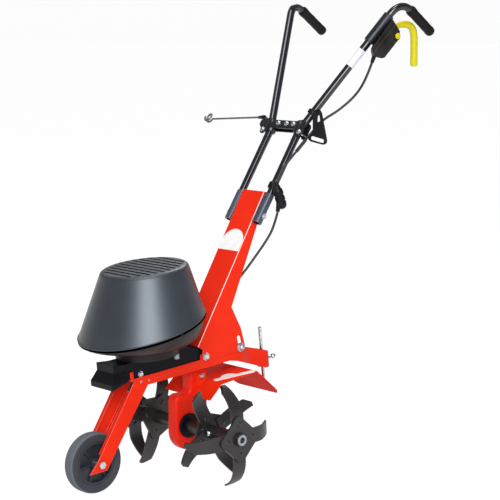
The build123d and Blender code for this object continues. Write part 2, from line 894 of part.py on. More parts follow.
# One tine: flat root riveted to the plate, then bent inward and cut to a slanted claw.
# Local x is the radius, local y the way inward along the shaft.
def tine_blade(station, angle, turn):
    """A single bent blade on the inner face of a star plate."""
    outward = Vector(0, cos(radians(angle)), sin(radians(angle)))
    seat = Vector(station, 0, shaft_height)
    profile = Plane(origin=seat, x_dir=outward, z_dir=Vector(-1, 0, 0).cross(outward) * -1)
    face_on = Plane(origin=seat, x_dir=outward, z_dir=(1, 0, 0))
    outer_bend = (tine_radius - blade_bend) / sin(radians(turn))
    inner_bend = outer_bend - blade_thick
    spots = []
    for radius, share in ((outer_bend, 0.5), (outer_bend, 1), (inner_bend, 1), (inner_bend, 0.5)):
        reach = blade_bend + radius * sin(radians(turn * share))
        spots.append((reach, outer_bend - radius * cos(radians(turn * share))))
    with BuildPart() as blade:
        with BuildSketch(profile):
            with BuildLine():
                Line((blade_root, 0), (blade_bend, 0))
                ThreePointArc((blade_bend, 0), spots[0], spots[1])
                Line(spots[1], spots[2])
                ThreePointArc(spots[2], spots[3], (blade_bend, blade_thick))
                Line((blade_bend, blade_thick), (blade_root, blade_thick))
                Line((blade_root, blade_thick), (blade_root, 0))
            make_face()
        extrude(amount=blade_width, both=True)
        with BuildSketch(face_on):
            Polygon(
                (blade_root, blade_width / 2),
                (blade_root, -blade_width / 2),
                (blade_bend + 20, -blade_width / 2),
                (tine_radius + 1, blade_width / 2 - blade_tip_width),
                (tine_radius + 1, 0),
                (tine_radius - 14, blade_width / 2),
                align=None,
            )
        extrude(amount=2 * tine_radius, both=True, mode=Mode.INTERSECT)
        with BuildSketch(face_on):
            with Locations((rivet_reach, 0)):
                Circle(rivet_radius)
        extrude(amount=2 * blade_thick, both=True, mode=Mode.SUBTRACT)
    return blade.part


with BuildPart() as tine_outer_left:
    for step in range(4):
        add(tine_blade(outer_star, outer_angle + 90 * step, outer_turn))
save(tine_outer_left, "tine_outer_left")

with BuildPart() as tine_outer_right:
    mirror(tine_outer_left.part, about=Plane.YZ)
save(tine_outer_right, "tine_outer_right")

# The inner blades sit on the outer face of their plate and bend outward, clear of the mudguard
inner_middle = Plane.YZ.offset(inner_star + plate_thick / 2)
with BuildPart() as tine_inner_left:
    for step in range(4):
        mirror(tine_blade(inner_star, inner_angle + 90 * step, inner_turn), about=inner_middle)
save(tine_inner_left, "tine_inner_left")

with BuildPart() as tine_inner_right:
    for step in range(4):
        add(tine_blade(-inner_star - plate_thick, inner_angle + inner_stagger + 90 * step, inner_turn))
save(tine_inner_right, "tine_inner_right")

# Rivets of the tines and the cross pins of the hubs
with BuildPart() as tine_fasteners:
    rivet_stack = blade_thick + plate_thick
    for side, turned in ((1, inner_angle), (-1, inner_angle + inner_stagger)):
        for start, turn in ((outer_star - blade_thick, outer_angle), (inner_star, turned)):
            for step in range(4):
                angle = radians(turn + 90 * step)
                spot = (rivet_reach * cos(angle), shaft_height + rivet_reach * sin(angle))
                with BuildSketch(Plane.YZ.offset(side * (start - rivet_proud))):
                    with Locations(spot):
                        Circle(rivet_head)
                extrude(amount=side * rivet_proud)
                with BuildSketch(Plane.YZ.offset(side * start)):
                    with Locations(spot):
                        Circle(rivet_radius - running_gap)
                extrude(amount=side * rivet_stack)
                with BuildSketch(Plane.YZ.offset(side * (start + rivet_stack))):
                    with Locations(spot):
                        Circle(rivet_head)
                extrude(amount=side * rivet_proud)
    with BuildSketch(Plane.XZ):
        with Locations((pin_station, shaft_height), (-pin_station, shaft_height)):
            Circle(pin_radius - running_gap)
    extrude(amount=hub_radius + pin_proud, both=True)
save(tine_fasteners, "tine_fasteners")

# Mudguard: bent sheet over the shaft, slotted round the neck of the gear case
with BuildPart() as mudguard:
    with BuildSketch(Plane.YZ):
        with BuildLine():
            Polyline(guard_lip, guard_front, guard_back, guard_tail)
        trace(line_width=guard_sheet)
    extrude(amount=guard_half, both=True)
    with BuildSketch(Plane.XY) as plan:
        Rectangle(2 * guard_half, 2 * guard_tail[0])
        fillet(plan.vertices().group_by(Axis.Y)[-1], guard_corner)
    extrude(amount=2 * deck_height, mode=Mode.INTERSECT)
    for side in (1, -1):
        with BuildSketch(Plane.YZ.offset(side * (case_half + part_gap))):
            with Locations((guard_tab_y, guard_bolt_z + bar_bolt_head)):
                Rectangle(guard_tab_width, guard_tab_height, align=(Align.CENTER, Align.MAX))
        extrude(amount=side * guard_sheet)
    with BuildSketch(Plane.XY):
        with Locations((0, case_y + case_radius + part_gap)):
            Rectangle(2 * case_half + 2 * part_gap, 4 * case_radius, align=(Align.CENTER, Align.MAX))
    extrude(amount=2 * deck_height, mode=Mode.SUBTRACT)
    with BuildSketch(Plane.YZ):
        with Locations((guard_tab_y, guard_bolt_z)):
            Circle(bar_bolt_radius)
    extrude(amount=2 * case_half, both=True, mode=Mode.SUBTRACT)
save(mudguard, "mudguard")

# Spur bracket: a strap from the frame's rear end round the depth rod, with the rod's guide
with BuildPart() as spur_bracket:
    strap_half = inner_half - strap_sheet / 2
    with BuildSketch(deck.offset(-frame_depth * 4)):
        with BuildLine():
            Polyline(
                (strap_half, strap_front),
                (strap_half, strap_bend),
                (strap_neck_half, strap_neck),
                (strap_neck_half, rod_station),
            )
            ThreePointArc(
                (strap_neck_half, rod_station),
                (0, rod_station + strap_neck_half),
                (-strap_neck_half, rod_station),
            )
            Polyline(
                (-strap_neck_half, rod_station),
                (-strap_neck_half, strap_neck),
                (-strap_half, strap_bend),
                (-strap_half, strap_front),
            )
        trace(line_width=strap_sheet)
    extrude(amount=frame_depth * 5)
    with BuildSketch(deck_side):
        Polygon(
            (strap_front, strap_edge),
            (strap_crest, strap_edge),
            (rod_station + 20, guide_top + 2),
            (rod_station + 20, guide_bottom - 2),
            (rod_station - 4, guide_bottom - 2),
            strap_belly,
            (strap_front, strap_tail),
            align=None,
        )
    extrude(amount=2 * frame_half, both=True, mode=Mode.INTERSECT)
    with BuildSketch(deck.offset(guide_bottom)):
        with Locations((0, rod_station)):
            Circle(strap_neck_half - strap_sheet / 4)
    extrude(amount=guide_top - guide_bottom)
    with BuildSketch(deck.offset(guide_bottom - 4)):
        with Locations((0, rod_station)):
            Circle(rod_radius + running_gap)
    extrude(amount=guide_top - guide_bottom + 8, mode=Mode.SUBTRACT)
    screw_seat = deck.origin + deck.z_dir * screw_rise + deck.y_dir * rod_station
    with BuildSketch(Plane(origin=screw_seat, x_dir=(1, 0, 0), z_dir=deck.y_dir)):
        Circle(screw_radius + running_gap)
    extrude(amount=rod_station, mode=Mode.SUBTRACT)
save(spur_bracket, "spur_bracket")

# Depth rod with a pointed foot
with BuildPart() as depth_rod:
    with BuildSketch(deck.offset(rod_bottom)):
        with Locations((0, rod_station)):
            Circle(rod_radius)
    extrude(amount=rod_top - rod_bottom)
    chamfer(depth_rod.edges().sort_by(Axis.Z)[-1], 1.5)
    chamfer(depth_rod.edges().sort_by(Axis.Z)[0], rod_radius - 1.5)
save(depth_rod, "depth_rod")

# Clamp screw with a ball end, bearing on the back of the rod
screw_start = rod_station + rod_radius + part_gap
with BuildPart() as clamp_screw:
    origin = deck.origin + deck.z_dir * screw_rise + deck.y_dir * screw_start
    with BuildSketch(Plane(origin=origin, x_dir=(1, 0, 0), z_dir=deck.y_dir)):
        Circle(screw_radius)
    extrude(amount=screw_reach)
    with Locations(origin + deck.y_dir * (screw_reach + screw_ball - 1)):
        Sphere(screw_ball)
save(clamp_screw, "clamp_screw")

# Fork arm: a strip folded in along both edges, cut to a point at the foot
with BuildPart() as fork_left:
    toe = (wheel_y + fork_toe[0], wheel_radius + fork_toe[1])
    shin = (wheel_y + fork_shin[0], wheel_radius + fork_shin[1])
    heel = (wheel_y + fork_heel[0], wheel_radius + fork_heel[1])
    crest = deck_point(*fork_crest)
    knee = deck_point(*fork_knee)
    with BuildSketch(Plane.YZ.offset(inner_half)):
        Polygon(toe, shin, crest, deck_point(*fork_back), knee, heel, align=None)
    extrude(amount=-fork_sheet)
    lean = atan2(crest[0] - shin[0], crest[1] - shin[1])
    inset = (fork_sheet * cos(lean), -fork_sheet * sin(lean))
    for low, high, way in ((shin, crest, 1), (heel, knee, -1)):
        start = (low[0] + 0.08 * (high[0] - low[0]), low[1] + 0.08 * (high[1] - low[1]))
        end = (low[0] + 0.86 * (high[0] - low[0]), low[1] + 0.86 * (high[1] - low[1]))
        with BuildSketch(Plane.YZ.offset(inner_half)):
            Polygon(
                start,
                end,
                (end[0] + way * inset[0], end[1] + way * inset[1]),
                (start[0] + way * inset[0], start[1] + way * inset[1]),
                align=None,
            )
        extrude(amount=-fork_fold - fork_sheet)
    with BuildSketch(Plane.YZ):
        with Locations((wheel_y, wheel_radius)):
            Circle(axle_radius + running_gap)
        with Locations(*fork_bolts):
            Circle(bar_bolt_radius)
    extrude(amount=2 * frame_half, mode=Mode.SUBTRACT)
save(fork_left, "fork_left")

with BuildPart() as fork_right:
    mirror(fork_left.part, about=Plane.YZ)
save(fork_right, "fork_right")

# Axle: a long bolt with its spacers, between the fork arms
with BuildPart() as wheel_axle:
    with BuildSketch(Plane.YZ):
        with Locations((wheel_y, wheel_radius)):
            Circle(axle_radius)
    extrude(amount=inner_half + axle_head_thick, both=True)
    for side in (1, -1):
        with BuildSketch(Plane.YZ.offset(side * (wheel_half + part_gap))):
            with Locations((wheel_y, wheel_radius)):
                Circle(axle_head)
        extrude(amount=side * (inner_half - fork_sheet - wheel_half - part_gap))
        with BuildSketch(Plane.YZ.offset(side * inner_half)):
            with Locations((wheel_y, wheel_radius)):
                RegularPolygon(axle_head, 6)
        extrude(amount=side * axle_head_thick)
save(wheel_axle, "wheel_axle")

# Wheel centre: a closed web with ribs on both faces
with BuildPart() as wheel_rim:
    with BuildSketch(Plane.YZ):
        with Locations((wheel_y, wheel_radius)):
            Circle(rim_outer)
    extrude(amount=rim_lip_half, both=True)
    with BuildSketch(Plane.YZ):
        with Locations((wheel_y, wheel_radius)):
            Circle(rim_outer - rim_ring)
    extrude(amount=rim_lip_half, both=True, mode=Mode.SUBTRACT)
    with BuildSketch(Plane.YZ):
        with Locations((wheel_y, wheel_radius)):
            Circle(rim_outer - rim_ring / 2)
    extrude(amount=rim_web_half, both=True)
    with BuildSketch(Plane.YZ):
        with Locations((wheel_y, wheel_radius)):
            with PolarLocations(rim_outer / 2, rib_count, start_angle=12):
                Rectangle(rim_outer - rim_ring, rib_width)
    extrude(amount=rib_half, both=True)
    with BuildSketch(Plane.YZ):
        with Locations((wheel_y, wheel_radius)):
            Circle(rim_hub)
    extrude(amount=wheel_half, both=True)
    with BuildSketch(Plane.YZ):
        with Locations((wheel_y, wheel_radius)):
            Circle(axle_radius + running_gap)
    extrude(amount=wheel_half, both=True, mode=Mode.SUBTRACT)
save(wheel_rim, "wheel_rim")

# Solid tyre
with BuildPart() as wheel_tyre:
    with BuildSketch(Plane.YZ):
        with Locations((wheel_y, wheel_radius)):
            Circle(wheel_radius)
    extrude(amount=wheel_half, both=True)
    fillet(wheel_tyre.edges(), tyre_round)
    with BuildSketch(Plane.YZ):
        with Locations((wheel_y, wheel_radius)):
            Circle(rim_outer + running_gap)
    extrude(amount=wheel_half, both=True, mode=Mode.SUBTRACT)
save(wheel_tyre, "wheel_tyre")

# Column: web and two flanges, with pivot holes and curved clamp slots
slot_reach = hypot(clamp[0] - pivot[0], clamp[1] - pivot[1])
slot_start = degrees(atan2(clamp[1] - pivot[1], clamp[0] - pivot[0]))
slot_line = CenterArc(pivot, slot_reach, slot_start, tilt_range + 1)
with BuildPart() as column:
    front_foot = above_deck(column_foot)
    heel_foot = above_deck(column_heel)
    with BuildSketch(Plane.YZ):
        Polygon(
            front_foot,
            above_deck(column_notch),
            (pivot[0] - column_foot_radius, pivot[1]),
            above_deck(column_toe),
            heel_foot,
            (heel_foot[0], heel_foot[1] + column_foot_radius),
            above_deck(column_back),
            above_deck(column_kink),
            column_top_rear,
            column_top,
            align=None,
        )
        with Locations(pivot):
            Circle(column_foot_radius)
    extrude(amount=column_half, both=True)
    rise = (column_top[0] - front_foot[0], column_top[1] - front_foot[1])
    fillet(column.edges().filter_by(Axis((0, *front_foot), (0, *rise))), column_fold)
    # Room behind the web, in axes that lie along the folded front
    web = Plane(origin=(0, *front_foot), x_dir=(0, *rise), z_dir=(1, 0, 0))
    with BuildSketch(web):
        with Locations((hypot(*rise) / 2, -column_sheet)):
            Rectangle(2 * hypot(*rise), hypot(*rise), align=(Align.CENTER, Align.MAX))
    extrude(amount=column_half - column_sheet, both=True, mode=Mode.SUBTRACT)
    with BuildSketch(Plane.YZ):
        with Locations(pivot):
            Circle(column_bolt_radius + running_gap)
        SlotArc(slot_line, 2 * column_bolt_radius + 2 * part_gap)
    extrude(amount=2 * column_half, both=True, mode=Mode.SUBTRACT)
    with BuildSketch(Plane.YZ):
        with Locations(socket_bolt):
            Circle(bar_bolt_radius)
    extrude(amount=2 * column_half, both=True, mode=Mode.SUBTRACT)
save(column, "column")

# Bolts on which the column tilts and is clamped
with BuildPart() as column_bolts:
    for side in (1, -1):
        for spot in (pivot, clamp):
            with BuildSketch(Plane.YZ.offset(side * inner_half)):
                with Locations(spot):
                    Circle(column_bolt_radius)
            extrude(amount=side * (column_half - inner_half + part_gap))
            with BuildSketch(Plane.YZ.offset(side * (column_half + part_gap))):
                with Locations(spot):
                    RegularPolygon(bolt_head, 6)
            extrude(amount=side * bolt_head_thick)
            with BuildSketch(Plane.YZ.offset(side * (column_half + part_gap))):
                with Locations(spot):
                    Circle(bolt_washer)
            extrude(amount=side * 1.5)
save(column_bolts, "column_bolts")

# Handle tubes: the lower pair leans back in sockets on the column's flanges
tube_way = Vector(0, sin(radians(socket_lean)), cos(radians(socket_lean)))
socket_half = column_half + socket_radius + part_gap
joint_reach = (joint_z - socket_z) / tube_way.Z
foot = Vector(socket_half, socket_y, socket_z)


def lower_plane(reach):
    """Plane across the left lower tube, a distance up it from the socket's middle."""
    return Plane(origin=foot + tube_way * reach, x_dir=(1, 0, 0), z_dir=tube_way)


with BuildPart() as socket_left:
    with BuildSketch(lower_plane(-socket_below)):
        Circle(socket_radius)
        Rectangle(socket_half - column_half, pad_width, align=(Align.MAX, Align.CENTER))
    extrude(amount=socket_below + socket_above)
    with BuildSketch(lower_plane(-2 * socket_below)):
        Circle(lower_radius + running_gap)
    extrude(amount=4 * socket_below, mode=Mode.SUBTRACT)
    with BuildSketch(Plane.YZ):
        with Locations(socket_bolt):
            Circle(bar_bolt_radius)
    extrude(amount=2 * socket_half, mode=Mode.SUBTRACT)
save(socket_left, "socket_left")

with BuildPart() as socket_right:
    mirror(socket_left.part, about=Plane.YZ)
save(socket_right, "socket_right")

with BuildPart() as lower_tube_left:
    with BuildSketch(lower_plane(-socket_below)):
        Circle(lower_radius)
        Circle(upper_radius + running_gap, mode=Mode.SUBTRACT)
    extrude(amount=joint_reach - joint_setback + socket_below)
    with BuildSketch(Plane.YZ):
        with Locations(socket_bolt):
            Circle(bar_bolt_radius)
    extrude(amount=2 * socket_half, mode=Mode.SUBTRACT)
save(lower_tube_left, "lower_tube_left")

with BuildPart() as lower_tube_right:
    mirror(lower_tube_left.part, about=Plane.YZ)
save(lower_tube_right, "lower_tube_right")

# Upper handle: pushed into the lower tube, bent outward, then over to the grip
joint = foot + tube_way * joint_reach
corner = Vector(corner_half, corner_y, corner_z)
grip_end = Vector(grip_half, grip_y, grip_z)
upper_way = (corner - joint).normalized()
grip_way = (grip_end - corner).normalized()
with BuildPart() as upper_handle_left:
    with BuildLine() as route:
        FilletPolyline(
            joint - tube_way * insert_length, joint, corner, grip_end, radius=(elbow_radius, corner_radius)
        )
    with BuildSketch(Plane(origin=joint - tube_way * insert_length, x_dir=(1, 0, 0), z_dir=tube_way)):
        Circle(upper_radius)
        Circle(upper_radius - tube_wall, mode=Mode.SUBTRACT)
    sweep(path=route.wires()[0])
save(upper_handle_left, "upper_handle_left")

with BuildPart() as upper_handle_right:
    mirror(upper_handle_left.part, about=Plane.YZ)
save(upper_handle_right, "upper_handle_right")

# Ribbed grip
with BuildPart() as grip_left:
    cap = Plane(origin=grip_end + grip_way * grip_cap, z_dir=grip_way * -1)
    with BuildSketch(cap):
        Circle(grip_radius)
    extrude(amount=grip_length + grip_cap)
    for index in range(grip_rib_count):
        with BuildSketch(cap.offset(4 + index * 2 * grip_rib_width)):
            Circle(grip_radius + grip_rib)
        extrude(amount=grip_rib_width)
    with BuildSketch(cap.offset(grip_cap)):
        Circle(upper_radius + running_gap)
    extrude(amount=2 * grip_length, mode=Mode.SUBTRACT)
save(grip_left, "grip_left")

with BuildPart() as grip_right:
    mirror(grip_left.part, about=Plane.YZ)
save(grip_right, "grip_right")

# Crossbar: two plates bolted together over the handle tubes; the front one carries the
# swivel tube of the wire arm
bar_front = Vector(0, -tube_way.Z, tube_way.Y)
bar = Plane(origin=(0, joint.Y, joint.Z), x_dir=(1, 0, 0), z_dir=bar_front)
bar_seat = upper_radius + part_gap
bar_bolts = ((-bar_half + 9, 2), (-20, 14), (10, 14), (35, 14), (bar_half - 9, 2))
swivel_x = -bar_half - 6
swivel_depth = bar_seat + 1 - swivel_radius
with BuildPart() as crossbar_front:
    with BuildSketch(bar.offset(bar_seat)):
        with Locations((0, (bar_low + bar_high) / 2)):
            RectangleRounded(2 * bar_half, bar_high - bar_low, 5)
        with Locations((swivel_x, (bar_low + bar_high) / 2)):
            Rectangle(2 * swivel_radius + 2, bar_high - bar_low)
    extrude(amount=bar_sheet)
    swivel = Plane(
        origin=bar.origin + bar.x_dir * swivel_x + bar_front * swivel_depth + tube_way * bar_low,
        x_dir=(1, 0, 0),
        z_dir=tube_way,
    )
    with BuildSketch(swivel):
        Circle(swivel_radius)
    extrude(amount=bar_high - bar_low)
    with BuildSketch(swivel.offset(-4)):
        Circle(wire_radius + running_gap)
    extrude(amount=2 * bar_high, mode=Mode.SUBTRACT)
    with BuildSketch(bar):
        with Locations(*bar_bolts):
            Circle(bar_bolt_radius)
    extrude(amount=4 * bar_seat, mode=Mode.SUBTRACT)
save(crossbar_front, "crossbar_front")

with BuildPart() as crossbar_rear:
    with BuildSketch(bar.offset(-bar_seat)):
        with Locations((0, (bar_low + bar_high) / 2)):
            RectangleRounded(2 * bar_half, bar_high - bar_low, 5)
        with Locations(*bar_bolts):
            Circle(bar_bolt_radius, mode=Mode.SUBTRACT)
    extrude(amount=-bar_sheet)
save(crossbar_rear, "crossbar_rear")

# Bolts of the crossbar and of the sockets
with BuildPart() as handle_bolts:
    half_stack = bar_seat + bar_sheet
    with BuildSketch(bar.offset(-half_stack)):
        with Locations(*bar_bolts):
            Circle(bar_bolt_radius - running_gap)
    extrude(amount=2 * half_stack)
    for height, way in ((half_stack, 1), (-half_stack, -1)):
        with BuildSketch(bar.offset(height)):
            with Locations(*bar_bolts):
                RegularPolygon(bar_bolt_head, 6)
        extrude(amount=way * bar_bolt_thick)
    for side in (1, -1):
        with BuildSketch(Plane.YZ.offset(side * (column_half - column_sheet))):
            with Locations(socket_bolt):
                Circle(bar_bolt_radius - running_gap)
        extrude(amount=side * (socket_half + socket_radius - column_half + column_sheet + 1))
        with BuildSketch(Plane.YZ.offset(side * (socket_half + socket_radius + part_gap))):
            with Locations(socket_bolt):
                RegularPolygon(bar_bolt_head, 6)
        extrude(amount=side * bar_bolt_thick)
        with BuildSketch(Plane.YZ.offset(side * (column_half - column_sheet))):
            with Locations(socket_bolt):
                RegularPolygon(bar_bolt_head, 6)
        extrude(amount=-side * bar_bolt_thick)
save(handle_bolts, "handle_bolts")

# Wire arm: upright pin in the swivel tube, long arm, open eye at the end
wire_way = Vector(-1, 0, 0) * cos(radians(wire_lean)) + bar_front * sin(radians(wire_lean))
wire_corner = swivel.origin + tube_way * (bar_high - bar_low + wire_elbow)
with BuildPart() as wire_arm:
    with BuildLine(Plane(origin=wire_corner, x_dir=wire_way, z_dir=wire_way.cross(tube_way))) as wire:
        FilletPolyline((0, bar_low - bar_high - wire_elbow), (0, 0), (wire_reach, 0), radius=wire_elbow - 1)
        CenterArc((wire_reach, eye_radius), eye_radius, -90, eye_turn)
    with BuildSketch(swivel):
        Circle(wire_radius)
    sweep(path=wire.wires()[0])
save(wire_arm, "wire_arm")

# Switch box on the left handle: a shaped housing, a sleeve round the tube, the lever's pin
lever_y = box_corners[1][0] - lever_inset
lever_z = box_corners[1][1]
lever_hinge = (lever_y, lever_z)
sleeve_start = joint + upper_way * ((sleeve_low - joint_z) / upper_way.Z)
with BuildPart() as switch_box:
    with BuildSketch(Plane.YZ.offset(box_inner)):
        Polygon(*box_corners, align=None)
    extrude(amount=box_outer - box_inner)
    fillet(switch_box.edges().filter_by(Axis.X), box_round)
    fillet(switch_box.faces().sort_by(Axis.X)[-1].edges(), 3)
    with BuildSketch(Plane.YZ.offset(box_outer)):
        with Locations(button_place):
            Circle(button_rim)
    extrude(amount=-button_rim_depth)
    with BuildSketch(Plane(origin=sleeve_start, z_dir=upper_way)):
        Circle(sleeve_radius)
    extrude(amount=(sleeve_high - sleeve_low) / upper_way.Z)
    with BuildSketch(Plane(origin=joint, z_dir=upper_way)):
        Circle(upper_radius + running_gap)
    extrude(amount=(corner - joint).length, mode=Mode.SUBTRACT)
    # Notch in which the lever swings
    with BuildSketch(Plane.YZ.offset(lever_inner - part_gap)):
        with Locations(lever_hinge):
            Circle(lever_boss + 1)
        Polygon(
            (lever_y - 2, lever_z + lever_boss + 1),
            (lever_y + 3, lever_z - lever_boss - 1),
            (lever_y + lever_notch, lever_z - 2),
            (lever_y + lever_notch / 3, lever_z + lever_notch),
            (lever_y - 6, lever_z + lever_notch),
            align=None,
        )
    extrude(amount=lever_outer - lever_inner + 2 * part_gap, mode=Mode.SUBTRACT)
    with BuildSketch(Plane.YZ.offset(lever_inner - 4)):
        with Locations(lever_hinge):
            Circle(lever_pin)
    extrude(amount=lever_outer - lever_inner + 6)
    with BuildSketch(Plane.YZ.offset(box_outer)):
        with Locations(button_place):
            Circle(button_radius + part_gap)
    extrude(amount=-button_depth - button_travel - part_gap, mode=Mode.SUBTRACT)
    # Boot round the lead
    lead_way = (Vector(*switch_route[1]) - Vector(*switch_route[0])).normalized()
    with BuildSketch(Plane(origin=Vector(*switch_route[0]) - lead_way * part_gap, z_dir=lead_way * -1)):
        Circle(boot_radius)
    extrude(amount=2 * boot_length)
save(switch_box, "switch_box")

# Lever: a hooked strip that is squeezed up towards the grip
lever_turns = tuple((lever_y + y, lever_z + z) for y, z in (lever_bend, lever_knee))
lever_end = (lever_y + lever_tip[0], lever_z + lever_tip[1])
with BuildPart() as switch_lever:
    with BuildSketch(Plane.YZ.offset(lever_inner)):
        with BuildLine():
            FilletPolyline(lever_hinge, *lever_turns, lever_end, radius=(lever_bend_round, lever_knee_round))
        trace(line_width=lever_width)
        with Locations(lever_hinge, lever_end):
            Circle(lever_width / 2)
        with Locations(lever_hinge):
            Circle(lever_boss)
            Circle(lever_pin + running_gap, mode=Mode.SUBTRACT)
    extrude(amount=lever_outer - lever_inner)
    fillet(switch_lever.faces().sort_by(Axis.X)[-1].outer_wire().edges(), lever_round)
    fillet(switch_lever.faces().sort_by(Axis.X)[0].outer_wire().edges(), lever_round)
save(switch_lever, "switch_lever")

# Safety button
with BuildPart() as lock_button:
    with BuildSketch(Plane.YZ.offset(box_outer - button_depth)):
        with Locations(button_place):
            Circle(button_radius)
    extrude(amount=button_depth + button_proud)
    fillet(lock_button.faces().sort_by(Axis.X)[-1].edges(), 2)
save(lock_button, "lock_button")

# Cord hook: a slotted plate clipped to the left handle
clip_centre = joint + upper_way * ((hook_clip_z - joint_z) / upper_way.Z)
with BuildPart() as cord_hook:
    with BuildSketch(Plane.YZ.offset(hook_inner)) as outline:
        Polygon(*hook_outline, align=None)
        fillet(outline.vertices(), 6)
        with Locations(Location(hook_low_slot, hook_low_turn)):
            SlotOverall(hook_slot_length, hook_low_width, mode=Mode.SUBTRACT)
        with Locations(Location(hook_high_slot, hook_high_turn)):
            SlotOverall(hook_slot_length, hook_high_width, mode=Mode.SUBTRACT)
    extrude(amount=hook_sheet)
    with BuildSketch(Plane.YZ.offset(clip_centre.X)):
        with Locations((clip_centre.Y, clip_centre.Z)):
            Rectangle(2 * hook_clip_half - 2, 2 * hook_clip_half)
    extrude(amount=hook_inner - clip_centre.X)
    with BuildSketch(Plane(origin=clip_centre - upper_way * hook_clip_half, z_dir=upper_way)):
        Circle(hook_clip_radius)
    extrude(amount=2 * hook_clip_half)
    with BuildSketch(Plane(origin=joint, z_dir=upper_way)):
        Circle(upper_radius + running_gap)
    extrude(amount=(corner - joint).length, mode=Mode.SUBTRACT)
save(cord_hook, "cord_hook")

# Cord connector on the left lower tube
plug_way = Vector(0, plug_foot[0] - plug_top[0], plug_foot[1] - plug_top[1]).normalized()
plug_x = (plug_inner + plug_outer) / 2
lead_end = Vector(plug_x, *plug_top) - plug_way * boot_length
lead_start = Vector(plug_x, *plug_foot) + plug_way * boot_length
collar_reach = (plug_top[1] - socket_z) / tube_way.Z
with BuildPart() as cable_connector:
    with BuildSketch(Plane.YZ.offset(plug_inner)):
        with BuildLine():
            Line(plug_top, plug_foot)
        trace(line_width=plug_width)
    extrude(amount=plug_outer - plug_inner)
    fillet(cable_connector.faces().sort_by(Axis.X)[-1].edges(), plug_round)
    with BuildSketch(Plane(origin=lead_end, z_dir=plug_way)):
        Circle(boot_radius)
    extrude(amount=2 * boot_length)
    with BuildSketch(Plane(origin=lead_start, z_dir=plug_way * -1)):
        Circle(boot_radius)
    extrude(amount=2 * boot_length)
    with BuildSketch(lower_plane(collar_reach - collar_half)):
        Circle(collar_radius)
        Rectangle(plug_inner - socket_half + 2, 2 * collar_half, align=(Align.MIN, Align.CENTER))
    extrude(amount=2 * collar_half)
    with BuildSketch(lower_plane(0)):
        Circle(lower_radius + running_gap)
    extrude(amount=joint_reach, mode=Mode.SUBTRACT)
save(cable_connector, "cable_connector")


def bend_radii(points):
    """Largest even bends that leave a short straight run between corners."""
    radii = []
    for before, here, after in zip(points, points[1:], points[2:]):
        first = Vector(*here) - Vector(*before)
        second = Vector(*after) - Vector(*here)
        half_turn = radians(first.get_angle(second) / 2)
        radii.append(0.45 * min(first.length, second.length) * cos(half_turn) / sin(half_turn))
    return radii


def cord(points, radius):
    """Round cord swept along straight runs and tangent bends."""
    first = Vector(*points[1]) - Vector(*points[0])
    with BuildPart() as run:
        with BuildLine() as route:
            FilletPolyline(*points, radius=bend_radii(points))
        with BuildSketch(Plane(origin=points[0], z_dir=first)):
            Circle(radius)
        sweep(path=route.wires()[0])
    print("cord length", round(route.wires()[0].length, 1), "radius", radius)
    return run.part


# Lead from the switch box down to the connector
lead_stop = lead_end - plug_way * cord_gap
with BuildPart() as switch_cable:
    add(cord(switch_route + (tuple(lead_stop),), cord_radius))
save(switch_cable, "switch_cable")

# Lead from the connector into the column, down to the motor
with BuildPart() as motor_cable:
    add(cord((tuple(lead_start + plug_way * cord_gap),) + motor_route, cord_radius))
save(motor_cable, "motor_cable")

# Cable gland under the motor base
with BuildPart() as cable_gland:
    with BuildSketch(deck.offset(cover_top)):
        with Locations(gland_place):
            Circle(gland_radius)
    extrude(amount=-gland_length)
save(cable_gland, "cable_gland")

# Bolts of the drive cover, the fork arms and the mudguard
with BuildPart() as frame_bolts:
    for side in (1, -1):
        cover_spot = deck_point(cover_bolt_station, cover_bolt_rise)
        with BuildSketch(Plane.YZ.offset(side * (cover_half - cover_wall))):
            with Locations(cover_spot):
                Circle(bar_bolt_radius - running_gap)
        extrude(amount=side * cover_wall)
        with BuildSketch(Plane.YZ.offset(side * cover_half)):
            with Locations(cover_spot):
                RegularPolygon(bar_bolt_head, 6)
        extrude(amount=side * bar_bolt_thick)
        for fork_spot in fork_bolts:
            with BuildSketch(Plane.YZ.offset(side * (inner_half - fork_sheet - bar_bolt_thick))):
                with Locations(fork_spot):
                    RegularPolygon(bar_bolt_head, 6)
            extrude(amount=side * bar_bolt_thick)
            with BuildSketch(Plane.YZ.offset(side * (inner_half - fork_sheet))):
                with Locations(fork_spot):
                    Circle(bar_bolt_radius - running_gap)
            extrude(amount=side * (fork_sheet + frame_sheet))
        guard_face = case_half + part_gap + guard_sheet
        with BuildSketch(Plane.YZ.offset(side * (guard_face - guard_bolt_depth))):
            with Locations((guard_tab_y, guard_bolt_z)):
                Circle(bar_bolt_radius - running_gap)
        extrude(amount=side * guard_bolt_depth)
        with BuildSketch(Plane.YZ.offset(side * guard_face)):
            with Locations((guard_tab_y, guard_bolt_z)):
                RegularPolygon(bar_bolt_head, 6)
        extrude(amount=side * bar_bolt_thick)
save(frame_bolts, "frame_bolts")
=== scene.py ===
import json
from math import cos, pi, radians, sin
import bmesh
import bpy
from mathutils import Matrix, Vector

